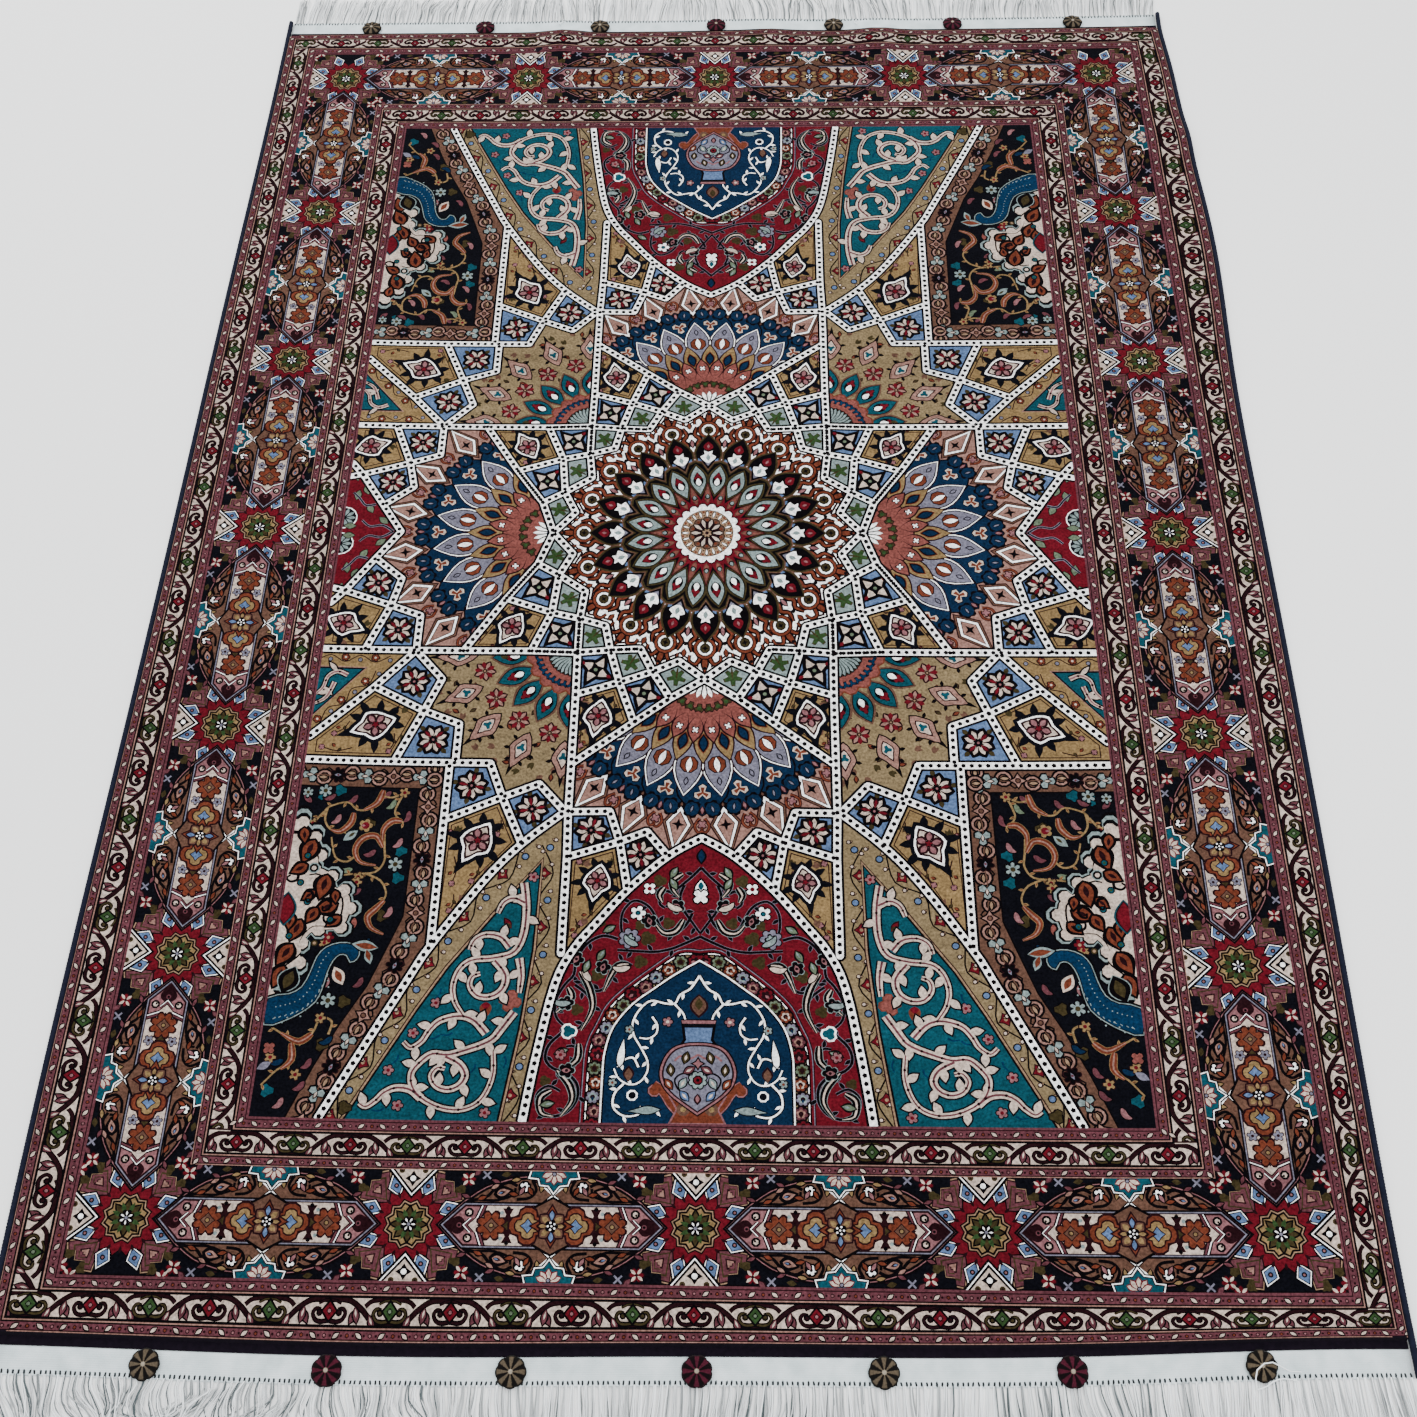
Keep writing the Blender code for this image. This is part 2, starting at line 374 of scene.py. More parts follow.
def stations(line, pitch, start=0.5):
    """Points at even steps along a line, each with the line's direction there in degrees."""
    due, walked, found = pitch * start, 0, []
    for a, b in zip(line, line[1:]):
        length = abs(b - a)
        while due <= walked + length:
            found.append((a + (b - a) * (due - walked) / length, math.degrees(cmath.phase(b - a))))
            due += pitch
        walked += length
    return found


def cut(outline, at, outward):
    """The part of an outline on the near side of a line through a point, square to a direction."""
    kept = []
    for k, here in enumerate(outline):
        last = outline[k - 1]
        was, now = (((p - at) * outward.conjugate()).real for p in (last, here))
        if (was > 0) != (now > 0):
            kept.append(last + (here - last) * was / (was - now))
        if now <= 0:
            kept.append(here)
    return kept


def inside(motif, window):
    """The motif cut to a window whose corners all turn the same way."""
    middle = sum(window) / len(window)
    for k, corner in enumerate(window):
        outward = -1j * (corner - window[k - 1])
        if ((corner - middle) * outward.conjugate()).real < 0:
            outward = -outward
        motif = [(yarn, cut(outline, corner, outward)) for yarn, outline in motif]
        motif = [(yarn, outline) for yarn, outline in motif if len(outline) > 2]
    return motif


def squashed(motif, across, along=1):
    return [(yarn, [complex(p.real * across, p.imag * along) for p in outline]) for yarn, outline in motif]

# %% [markdown]
# ## The yarns
# A city rug of this kind is knotted from some two dozen dyed wools. Each one is a single flat colour in the
# cartoon; the pile's material later gives it the bands, flecks and shade that real wool has.

# %% The dyed wools, as sRGB hex
YARNS = {
    "black": "#070507",
    "ink": "#08080d",
    "navy": "#091c31",
    "blue": "#07233b",
    "teal": "#113842",
    "sky": "#485b7b",
    "lilac": "#5e5c69",
    "mist": "#697675",
    "white": "#eeecea",
    "ivory": "#a7968a",
    "peach": "#785950",
    "pink": "#6e494c",
    "rose": "#4d2a30",
    "red": "#4e0e17",
    "maroon": "#1a090d",
    "salmon": "#663833",
    "rust": "#56291c",
    "copper": "#4c352b",
    "gold": "#6e593b",
    "sand": "#78604c",
    "bronze": "#695a42",
    "olive": "#2d2616",
    "green": "#24371d",
    "sage": "#4e5948",
}

# %% [markdown]
# ## The field's plan
# The design is a dome seen from below, flattened on to the floor: a twenty-pointed centre, rings of kites
# held in a lattice of white straps, half-domes on all four sides, and a niche at each end. It is the same in
# all four quarters, so one quarter is drawn, u to the side and v to the end, and mirrored. The lattice's
# crossings are the plan's own measurements; everything else is hung from them.

# %% The field's plan, in mm from the rug's middle
FIELD_U, FIELD_V = 508, 813
RAYS = 20  # points on the central star
STAR_U, STAR_V = 212, 230  # its reach across and along, for it is woven a little narrow
CORNER = complex(FIELD_U, FIELD_V)
TIPS = (230j, 68+219j, 125+187j, 168+139j, 200+70j, 212+0j)  # the star's points
NOTCHES = (34+203j, 85+185j, 133+150j, 163+96j, 183+35j)  # and the corners between them
GREEN_OUT = (44+258j, 111+235j, 168+191j, 206+130j, 230+52j)  # outer corners of the green kites
BLUE_OUT = (90+293j, 167+253j, 230+189j, 269+108j)  # outer corners of the ring of blue kites
WAIST_END, SHOULDER_END = 508+190j, 508+352j
POST_FOOT, OUTER_POST_FOOT = 165+605j, 322+598j
EAST = {"tip": 425+0j, "top": 455+45j, "out": 491+99j, "hub": 425+121j, "in": 415+78j}
EAST |= {"post": 383+190j, "knee": 383+136j, "foot": 452+190j}
WING = {"left": 344+232j, "right": 432+245j, "hub": 363+279j, "step": 315+297j}
WING |= {"foot": 315+352j, "far": 394+352j, "end": 508+320j}
SHOULDER = {"start": 270+352j, "hub": 251+399j, "top": 206+380j, "post": 322+431j, "foot": 322+352j}
CROOK = {"left": 115+417j, "right": 167+418j, "hub": 101+458j, "foot": 165+479j}
CROOK |= {"top": 68+444j, "arch": 41+477j, "low": 89+522j}
ARCH = through([452j, 41+477j, 89+522j, 124+565j, 150+599j, 170+645j, 187+740j, 197+813j])
BRANCH = through([171+418j, 222+462j, 265+512j, 322+598j, 344+640j, 401+755j, 429+813j])
SOUTH_FAN, EAST_FAN, QUARTER_FAN = 230j, 212+0j, 170+190j  # the part-domes' middles

# %% [markdown]
# ### The straps
# White straps with black beads cover every joint between two panels, so they are drawn last: first all their
# dark edges, then all the white, so that the crossings run into each other, and then the beads.

# %% Straps
STRAP_EDGE, STRAP_WHITE, BEAD_PITCH, BEAD = 15.2, 9.2, 10.2, 6.6


def zigzag(*rows):
    """Points taken from each row in turn."""
    return [points[k] for k in range(len(rows[0])) for points in rows if k < len(points)]


def strap_lines():
    return [
        zigzag(TIPS, NOTCHES),
        zigzag(TIPS, GREEN_OUT),
        zigzag(GREEN_OUT, BLUE_OUT),
        [TIPS[0], GREEN_OUT[0], BLUE_OUT[0], 167+352j],
        [TIPS[5], GREEN_OUT[4], BLUE_OUT[3], 320+190j],
        [NOTCHES[1], TIPS[2], GREEN_OUT[2], BLUE_OUT[2], WAIST_END],
        [NOTCHES[3], TIPS[3], GREEN_OUT[2], BLUE_OUT[1], CROOK["right"], CROOK["foot"], POST_FOOT],
        [EAST["tip"], EAST["top"], EAST["out"], 508+119j],
        [EAST["top"], EAST["in"], EAST["hub"], EAST["foot"]],
        [EAST["post"], EAST["knee"], EAST["hub"], EAST["out"], 508+95j],
        [EAST["post"], WING["left"], WING["hub"], WING["step"], WING["foot"]],
        [EAST["post"], WING["right"], WING["end"]],
        [WING["right"], WING["hub"], WING["far"]],
        [SHOULDER["start"], SHOULDER_END],
        [SHOULDER["start"], SHOULDER["hub"], BRANCH[4]],
        [BRANCH[0], SHOULDER["top"], SHOULDER["hub"], SHOULDER["post"]],
        [SHOULDER["foot"], OUTER_POST_FOOT],
        [CROOK["right"], CROOK["left"], CROOK["hub"], CROOK["foot"]],
        [CROOK["arch"], CROOK["top"], CROOK["hub"], CROOK["low"]],
        [CROOK["right"], BRANCH[0]],
        ARCH,
        BRANCH,
    ]


def sharp_ribbon(yarn, line, width):
    """A ribbon as one piece for each straight run, with a round knuckle at each joint."""
    runs = [run for pair in zip(line, line[1:]) for run in ribbon(yarn, pair, width)]
    return runs + [(yarn, circle(width / 2, joint)) for joint in line]


def straps():
    lines = strap_lines()
    made = []
    for yarn, width in (("black", STRAP_EDGE), ("white", STRAP_WHITE)):
        for line in lines:
            made += sharp_ribbon(yarn, line, width)
    return made + [("black", circle(BEAD / 2, at, 5)) for line in lines for at,
        _ in stations(line, BEAD_PITCH)]


# %% [markdown]
# ### Small flowers
# Every flower in the field is one of a few, turned and resized. Each starts with its own dark outline,
# because a weaver parts any two colours with a row of dark knots.

# %% Flowers


def open_flower():
    """The flower in a blue kite: eight ivory petals parted by red, with olive leaves, 21 mm in radius."""
    made = around([("olive", petal(11, 7, 16))], 4, start=22)
    made += around(petals(("black", 23, 15, 0, 0.62), ("ivory", 18, 7, 0, 0.62)), 8)
    made += around(petals(("maroon", 18, 7.5, 0, 0.7), ("red", 16, 4, 0, 0.7)), 4, start=22.5)
    return made + [("black", star(8, 8, 4.5)), ("pink", circle(1.8))]


def four_flower():
    """The four-armed figure in a blue kite of the ring, 24 mm in radius."""
    body = [polar(24, 0), polar(11.5, 33), polar(14, 57)]
    body = [p * 1j**k for k in range(4) for p in body]
    made = around([("maroon", petal(26, 11, 0, 0.85))], 2, start=90)
    made += rimmed(body, ("black", 3), ("ivory", -2))
    made += around([("red", petal(8, 5, 16))], 2, start=90)
    return made + [("black", star(4, 11.5, 6.4, 45)), ("sage", circle(2.6))]


def leaf_mark():
    """The green leaf of a pale kite."""
    return [("olive", lobed(5, 13.5, 6, 3, -108)), ("green", lobed(5, 11.5, 5, 3, -108)),
        ("olive", petal(20, 3, -16, 0.4))]


def dark_blossom():
    """The great blossom of a gold kite: a pointed ivory body with a pink flower, in a spiky ink calyx."""
    body = through([30, 15+9j, 7+18j, -6+15j, -15+8j, -24, -15-8j, -6-15j, 7-18j, 15-9j], 2, closed=True)
    spikes = [("ink", petal(long, 9, 0, 0.4)) for long in (17, 20, 17, 15)]
    made = []
    for spike, at, way in zip(spikes, (12+11j, 4+16j, -8+13j, -18+6j), (38, 72, 112, 150)):
        made += place([spike], at, way)
    made = both_ways(made) + [("ink", petal(26, 11, 20, 0.3)), ("ink", grown(body, 4.4)), ("white", body)]
    made += [("maroon", [0.86 * p for p in body]), ("ivory", [0.72 * p for p in body])]
    made += around(petals(("maroon", 15, 11.5, 0, 0.6), ("pink", 12, 6, 1.4, 0.6)), 5)
    return made + [("maroon", circle(4.4)), ("red", star(5, 5, 2))]


def dab(yarn="olive"):
    """A bean of one colour, as a weaver fills an empty spot."""
    return [(yarn, through([5, 1+5j, -6+3j, -3+0.5j, -5-3j, 1-3j], 2, closed=True))]


def twig(length):
    """A short twig with two leaves and a pink bud."""
    made = ribbon("maroon", through([0, complex(length * 0.5, length * 0.12), complex(length, 0)]), 1.6)
    made += place(petals(("maroon", 8, 5), ("olive", 6.5, 3)), length * 0.35, 55)
    made += place(petals(("maroon", 8, 5), ("rust", 6.5, 3)), length * 0.55, -50)
    return made + place([("maroon", circle(4.6)), ("pink", lobed(4, 3.8, 2.2))], length)


# %% [markdown]
# ### Panels of the lattice
# A kite is a flat panel with one flower at its middle; the straps' dark edges frame it.

# %% Kites


def middle_of(corners):
    return sum(corners) / len(corners)


def kite(corners, ground, flower, size=1):
    """A panel with a flower that points away from its first corner."""
    away = middle_of(corners) - corners[0]
    return [(ground, list(corners))] + place(flower, middle_of(corners),
        math.degrees(cmath.phase(away)), size)


def gold_kite(corners, at, size, turn, *twigs):
    """A gold panel: a dark blossom, and twigs given as start, direction and length."""
    made = [("gold", list(corners))] + rimmed(corners, ("maroon", -10), ("gold", -11.4))
    for k, (start, way, length) in enumerate(twigs):
        made += place(twig(length), start, way)
        made += place(dab("copper" if k % 2 else "olive"), start + polar(length * 0.5, way + 70), way)
    return made + place(dark_blossom(), at, turn, size)


def ring_of_kites():
    made = []
    for k in range(5):
        made += kite([NOTCHES[k], TIPS[k], GREEN_OUT[k], TIPS[k + 1]], "mist", leaf_mark())
    for k in range(4):
        made += kite([TIPS[k + 1], GREEN_OUT[k], BLUE_OUT[k], GREEN_OUT[k + 1]], "sky", four_flower())
    return made


def outer_kites():
    made = []
    for plan, names in (
        (EAST, "top out hub in"), (EAST, "hub foot post knee"), (EAST | WING, "post right hub left"),
        (WING, "hub far foot step"), (SHOULDER, "start foot post hub"),
        (SHOULDER | {"knee": BRANCH[4], "end": BRANCH[0]}, "top hub knee end"),
        (CROOK, "left right foot hub"), (CROOK, "top hub low arch"),
    ):
        made += kite([plan[name] for name in names.split()], "sky", open_flower())
    return made


def gold_kites():
    made = []
    for corners, at, size, turn, *twigs in (
        ([GREEN_OUT[3], BLUE_OUT[3], 320+190j, BLUE_OUT[2]], 258+152j, 1.0, 60,
         (236+128j, -10, 24), (290+150j, 60, 24), (262+182j, 10, 30)),
        ([GREEN_OUT[1], BLUE_OUT[1], 167+352j, BLUE_OUT[0]], 136+284j, 1.05, 80,
         (118+258j, 90, 24), (150+262j, -20, 10), (140+320j, 20, 18), (158+300j, 80, 20)),
        ([EAST["hub"], 508+96j, WAIST_END, EAST["foot"]], 486+150j, 1.05, 160,
         (458+140j, 40, 20), (470+178j, -60, 24)),
        ([WING["right"], WING["end"], SHOULDER_END, WING["far"], WING["hub"]], 424+300j, 1.15, 20,
         (396+270j, 60, 22), (450+334j, 0, 40), (398+312j, 80, 26), (458+296j, 45, 26)),
        ([SHOULDER["hub"], SHOULDER["post"], 322+598j, BRANCH[8], BRANCH[4]], 277+458j, 1.15, 60,
         (250+430j, 80, 20), (272+490j, 70, 24), (304+480j, 90, 36), (300+530j, 80, 22),
         (306+440j, 60, 10)),
        ([CROOK["hub"], CROOK["foot"], POST_FOOT, CROOK["low"]], 126+510j, 0.95, 80,
         (118+486j, 110, 14), (140+482j, 20, 10), (128+540j, 60, 30), (150+560j, 90, 22)),
    ):
        made += gold_kite(corners, at, size, turn, *twigs)
    return made


# %% [markdown]
# ### The domes
# The centre and the part-domes are all built the same way: rings of petals about one point, each ring turned
# by half a step from the one inside it, as bricks are laid. Only the step and the wools differ.

# %% The petals of a dome


def tulip_petal():
    """A black petal 66 mm long with a white tulip and a red bud, in an olive line, its point outwards."""
    made = petals(("copper", 71, 46, -3, 0.46), ("olive", 69, 43, -1, 0.46), ("black", 65, 38, 0, 0.46))
    tulip = [("lilac", petal(13, 7, -4)), ("white",
        through([0, 4+6j, 9+9j, 12+4j, 17+5j, 15, 17-5j, 12-4j, 9-9j, 4-6j], 2, closed=True))]
    tulip += petals(("mist", 9, 5, 3), ("red", 13, 11.5, 17, 0.42), ("pink", 6, 3, 20))
    made += place(tulip, 13, size=1.32) + place([("sky", petal(11, 5))], 12+10j, 30)
    made += place([("sky", petal(11, 5))], 12-10j, -30)
    return made


def eye_petal(body, line="copper"):
    """A pale pointed petal with a dark-lined eye, 54 mm long."""
    made = petals((line, 60, 32, -3, 0.52), ("black", 54, 26, 0, 0.52), (body, 51, 23, 1.5, 0.52))
    made += [("black", petal(27, 15.5, 15, 0.4)), ("white", petal(14, 8, 17, 0.4))]
    return made + place([("red", lobed(3, 7, 3, 3, 60))], 33)


def lamp_petal(body):
    """A pale lobe with a brown lamp and an ivory flame, 80 mm long, with a dark bud at its point."""
    made = petals(("maroon", 90, 42, -5, 0.52), ("white", 86, 38, -3, 0.52), ("black", 82, 35, -1, 0.52),
        (body, 79, 31.5, 0, 0.52))
    made += [("black", circle(12.5, 39)), ("rust", circle(11, 39)), ("maroon", petal(23, 10.5, 28)),
        ("white", petal(21, 7.5, 29))]
    return made + petals(("black", 13, 7, 56), ("lilac", 9, 4, 58))


def gold_petal():
    """A gold pointed petal with a navy heart, 58 mm long."""
    made = petals(("maroon", 62, 27), ("gold", 57, 22.5, 2.5), ("rust", 29, 15.5, 18))
    return made + petals(("black", 26, 13, 19.5), ("navy", 21, 9, 22))


def rim_kite():
    """The long kite at the rim of a half-dome: white-lined, with a black star inside, 60 mm long."""
    outline = [complex(-30, 0), complex(-7, 15), complex(30, 0), complex(-7, -15)]
    made = rimmed(outline, ("maroon", 5), ("copper", 3.4), ("maroon", 1.4), ("white", 0))
    return made + rimmed(outline, ("maroon", -3), ("peach", -4.2)) + [("black",
        [p * 0.9 - 6 for p in star(4, 10, 3.4)])]


def rim_scrolls():
    """The rust scrolls and dark stars between two rim kites."""
    curl = through([-8+3j, 2+9j, 11+5j, 8-1j, 3+2j], 3)
    made = both_ways(ribbon("maroon", curl, 5, 3) + ribbon("rust", curl, 2.8, 1.2))
    made += [("maroon", lobed(4, 7.5, 4, 3)), ("pink", lobed(4, 5.4, 2.6, 3)), ("black", star(4, 8, 3))]
    return place(made[:-1], -6) + place(made[-1:], 14)


# %% The half-domes and the quarter dome


def half_dome(middle, way, step, first_tip):
    """A fan of petals from a point on the edge of the centre, opening towards way, in degrees."""
    spread = [way + step * (k - 3) for k in range(7)]
    between = [angle - step / 2 for angle in spread] + [spread[-1] + step / 2]
    made = [("peach", circle(250, middle, 40))]
    for angle in between:
        made += place(rim_kite(), middle + polar(212, angle), angle)
    for angle in spread:
        made += place(rim_scrolls(), middle + polar(210, angle), angle)
        navy = petals(("black", 74, 68, 120), ("navy", 70, 63, 122))
        lobe = [
            ("black", lobed(6, 13, 10, 3)), ("navy", circle(9.5, 0, 8)), ("black", petal(12, 5, -6)),
            ("lilac", petal(9, 2.6, -4.5)),
        ]
        navy += both_ways(place(lobe, 183+13j, 20))
        navy += place(petals(("maroon", 13, 7), ("pink", 10, 4, 1)), 179)
        clover = [
            ("black", lobed(3, 13, 4, 4)), ("ivory", lobed(3, 11.6, 3, 4)), ("rust", lobed(3, 8.6, 1.5, 3)),
        ]
        made += place(navy + place(clover, 161), middle, angle)
    for angle in between:
        made += place(lamp_petal("lilac"), middle + polar(84, angle), angle)
    for angle in spread:
        made += place(gold_petal(), middle + polar(60, angle), angle)
    made += discs(("maroon", 72, middle, 28), ("salmon", 70, middle, 28))
    for angle in between:
        made += place(petals(("maroon", 42, 22), ("salmon", 39, 18)), middle + polar(52, angle), angle)
        made += place([("black", lobed(4, 6.5, 3, 3)), ("white", lobed(4, 4.4, 1.6, 3))], middle
            + polar(74, angle), angle)
        made += place(edged("olive", lobed(3, 6.5, 3, 3), "maroon", 1.2) + [("green", circle(3))], middle
            + polar(43, angle), angle)
    fan = petals(("black", 27, 9, 0, 0.7), ("white", 25.4, 5.6, 3, 0.7))
    for k in range(-4, 5):
        made += place(fan, middle, way + 20 * k)
    return made + discs(("navy", first_tip, middle), ("sky", first_tip - 1.8, middle))


def quarter_dome():
    """The golden quarter dome over the shoulder of the arch."""
    middle, step = QUARTER_FAN, 20.5
    fan = []
    for ring, radius in enumerate((172, 186, 204, 224, 246)):
        for k in range(9):
            fan += place(dab("copper" if (k + ring) % 3 else "olive"),
                polar(radius, 14 + 10 * k + 5 * (ring % 2)), 40 * k)
    body = through([30, 14+8j, 4+14j, -8+10j, -22, -8-10j, 4-14j, 14-8j], 2, closed=True)
    spikes = []
    spikes += scatter([("black", petal(9, 5))], (18+6j, 50), (6+13j, 80), (-8+10j, 120))
    palmette_drop = both_ways(spikes)
    palmette_drop += [("black", petal(22, 6, 22, 0.3)), ("black", grown(body, 1.8)), ("peach", body)]
    palmette_drop += [("maroon", [0.62 * p for p in body]), ("ivory", [0.5 * p for p in body]),
        ("teal", lobed(3, 6.5, 3, 3))]
    cluster = around(petals(("maroon", 16, 10, 0, 0.6), ("peach", 13, 4.6, 1, 0.6)), 5)
    cluster += around([("red", petal(11, 6, 3, 0.6))], 5, start=36)
    for k in range(11):
        fan += place(petals(("maroon", 12, 7, -1), ("rust", 9, 3.6)),
            polar(138 + 40 * (k % 2), 2 + 9 * k), 50 * k)
        fan += place(petals(("maroon", 11, 6, -1), ("olive", 8, 3.4)),
            polar(98 + 62 * (k % 2), 7 + 9 * k), 70 * k)
    for k in range(5):
        fan += place(palmette_drop, polar(153, 3 + 21 * k), 3 + 21 * k)
        fan += place(cluster + discs(("maroon", 3), ("sand", 1.5)), polar(122, -7 + 21 * k), 30 * k)
    fan += [("copper", petal(14, 6, 116, 0.5, 3))]
    for k in range(6):
        fan += place(eye_petal("teal"), polar(57, 5 + step * (k - 1)), 5 + step * (k - 1))
    fan += [("rust", lobed(18, 66, 60, 3)), ("salmon", lobed(18, 64, 57, 3))]
    for k in range(9):
        fan += place([("black", lobed(3, 6.5, 2.5, 3)), ("blue", lobed(3, 5, 1.6, 3))],
            polar(50, 5 + 10 * k), 10 * k)
    fan += discs(("maroon", 37, 0, 24), ("olive", 35.5, 0, 24))
    for k in range(10):
        fan += place(petals(("black", 34, 9.5, 4, 0.7), ("mist", 31, 6.5, 5, 0.7)), 0, 10 * k)
    fan += discs(("black", 9), ("copper", 7.5))
    window = [0, 400, 400+400j, 400j]
    edge = [
        167+190j, 383+190j, 344+232j, 363+279j, 315+297j, 315+352j, 270+352j, 251+399j, 206+380j, 171+418j,
        167+418j,
    ]
    return [("bronze", edge)] + place(inside(fan, window), middle)


# %% The central star


def centre():
    """The twenty-pointed star at the rug's middle, drawn round and then squashed a little across."""
    step, half = 360 / RAYS, 180 / RAYS
    made = []
    shoulder = through([-4+13j, 7+8j, 17+13j, 27+6j, 40+12j], 3)
    rim = both_ways(ribbon("black", shoulder, 11, 8) + ribbon("rust", shoulder, 5.4, 3))
    rim += both_ways(place(petals(("black", 20, 11), ("rust", 15, 5, 2)), 29+9j, 44)
        + place(petals(("black", 14, 8), ("copper", 10, 4, 1.4)), 7+9j, 62))
    rim += [("black", petal(18, 10, 1)), ("pink", petal(14, 5, 3)), ("black", circle(3.4, 29, 6)),
        ("black", petal(15, 9, 36)), ("rust", petal(12, 5, 37))]
    made += around(rim, RAYS, 150, half)
    ring = discs(("black", 17.6, 0, 12), ("rust", 16, 0, 12), ("black", 12.4, 0, 12))
    ring += [("white", circle(10.8, 0, 12)), ("black", circle(8)), ("olive", circle(6.2)),
        ("black", star(4, 5, 2))]
    hook = through([14+6j, 24+13j, 20+22j, 10+22j], 3)
    tip = both_ways(ribbon("black", hook, 8.4, 5) + ribbon("rust", hook, 4, 2))
    tip += [("black", petal(30, 13, 10, 0.4)), ("rust", petal(25, 7.6, 12, 0.4)),
        ("black", circle(2.6, 30, 6))]
    made += around(tip + ring, RAYS, 184)
    made += around(tulip_petal(), RAYS, 110)
    made += [("copper", lobed(RAYS, 130, 112, start=0)), ("olive", lobed(RAYS, 128, 109, start=0)),
        ("black", lobed(RAYS, 125, 106, start=0))]
    made += around(eye_petal("mist", "olive"), RAYS, 66, half)
    made += [("maroon", star(RAYS, 90, 58, 0)), ("red", star(RAYS, 86, 56, 0))]
    made += around(petals(("copper", 34, 9, 50, 0.4), ("salmon", 28, 5, 52, 0.4)), RAYS)
    made += around(petals(("black", 10, 8.5, -4, 0.4), ("mist", 7, 5, -2, 0.4)), RAYS, 62)
    made += [("maroon", lobed(RAYS, 52, 47)), ("white", lobed(RAYS, 50, 44)),
        ("black", circle(39.5, 0, 40)), ("sand", circle(38.5, 0, 40))]
    made += around(petals(("black", 13, 5.6, 26, 0.6), ("white", 10, 3, 27, 0.6)), RAYS)
    made += around(discs(("rust", 1.9), ("black", 1.2, -6)), RAYS, 36, half)
    made += [("black", lobed(10, 28, 24)), ("copper", lobed(10, 26.6, 22)), ("maroon", circle(20, 0, 20))]
    made += around(petals(("black", 20, 9, 6, 0.6), ("ivory", 16, 5.4, 8, 0.6)), 10)
    made += around([("rust", circle(2.2))], 10, 22, 18)
    made += [("black", circle(9, 0, 14)), ("sand", lobed(8, 7.4, 4.5, 3)), ("maroon", circle(2.8))]
    rows = squashed(made, STAR_U / STAR_V)
    edge = [0, *zigzag(TIPS, NOTCHES)]
    return rimmed(edge, ("white", 0), ("maroon", -9), ("white", -12)) + rows
# %% [markdown]
# ### Scrolls and vines
# Two kinds of stem fill what the lattice leaves over. A scroll is a broad band with a dark edge and a heart
# line, and scrolls that meet run into each other. A vine is a thin stem that swings from side to side along
# a strip, with a flower in each bend. A rinceau is a vine with a curl in every bend.

# %% Scrolls and vines


def leafed(leaf, curve, pitch, lean):
    """Leaves along a curve that lean to its two sides in turn."""
    spots = enumerate(stations(curve, pitch))
    return scatter(leaf, *[(at, way + (lean if k % 2 else -lean)) for k, (at, way) in spots])


def scrolls(lines, body, heart, width=9.6):
    """Banded scrolls, each one a smooth line, with leaf tips on alternate sides."""
    curves = [through(line) for line in lines]
    made = []
    for yarn, more in (("ink", 4), (body, 0)):
        for curve in curves:
            made += leafed([(yarn, grown(petal(18, width), more / 2))], curve, 30, 62)
        for curve in curves:
            made += ribbon(yarn, curve, width + more, width * 0.55 + more)
    for curve in curves:
        made += ribbon(heart, curve, 2.8, 1.6)
    return made + [("maroon", circle(1.9, at, 6)) for curve in curves for at, _ in stations(curve, 24)]


def outlined(lines, edge, body, width=4.6, core=2.6):
    """Thin scrolls: a pale edge and a dark body."""
    made = []
    for yarn, wide in ((edge, width), (body, core)):
        for line in lines:
            made += ribbon(yarn, through(line), wide, wide * 0.8)
    return made


def vine(line, pitch, swing, stem, motifs, start=0.5, width=1.5):
    """A stem that swings from side to side along a line, with the motifs in its bends in turn."""
    spots = stations(line, pitch, start)
    bends = [at + polar(swing if k % 2 else -swing, way + 90) for k, (at, way) in enumerate(spots)]
    made = ribbon(stem, through(bends), width)
    for k, (at, way) in enumerate(spots):
        made += place(motifs[k % len(motifs)], at - polar(swing * (0.35 if k % 2 else -0.35), way
            + 90), way)
    return made


def curled_leaf(points, width=9, body="ivory", edge="mist"):
    """A leaf along a curve, black with a pale core, thin at both ends and wide towards its start."""
    spine = through(points)
    made = []
    for yarn, wide in ((edge, width + 1.2), ("black", width), (body, width * 0.26)):
        sides = [[], []]
        for k, here in enumerate(spine):
            way = spine[min(k + 1, len(spine) - 1)] - spine[max(k - 1, 0)]
            half = wide / 2 * (0.25 + 0.75 * math.sin(math.pi * ((k + 0.6) / len(spine)) ** 0.7))
            sides[0].append(here + 1j * way / abs(way) * half)
            sides[1].append(here - 1j * way / abs(way) * half)
        made.append((yarn, sides[0] + sides[1][::-1]))
    return made


def ring_dot(heart="sky", radius=5.4):
    return discs(("black", radius), (heart, radius * 0.68))


def small_flower(petals, heart, radius=6.5, edge="maroon"):
    return edged(petals, lobed(5, radius, radius * 0.58), edge, 1.3) + [(heart, circle(radius * 0.34))]


def palmette(outer, inner, heart, size=1.0):
    """A fan of rounded leaves over a heart, 22 mm across, opening along the real axis."""
    made = edged(outer, lobed(7, 11, 8, start=0), "maroon", 1.3)
    made += [(inner, lobed(5, 7.4, 5)), ("maroon", circle(4.2))]
    return place(made + place([(heart, petal(8, 4.5))], -1), size=size)


def half_leaf(body, edge="black", length=20, width=9):
    """A leaf curled to one side."""
    spine = [
        0, complex(length * 0.35, width * 0.45), complex(length * 0.8, width * 0.3),
        complex(length, -width * 0.4), complex(length * 0.62, -width * 0.25),
        complex(length * 0.25, -width * 0.3),
    ]
    return edged(body, through(spine, 3, closed=True), edge, 1.4)


# %% [markdown]
# ### The spandrel
# Between the niche's arch and the branching strap lies a long golden triangle. Its sides carry a vine of
# lilac dots and rust flowers, and its middle is a teal panel full of ivory scrolls.

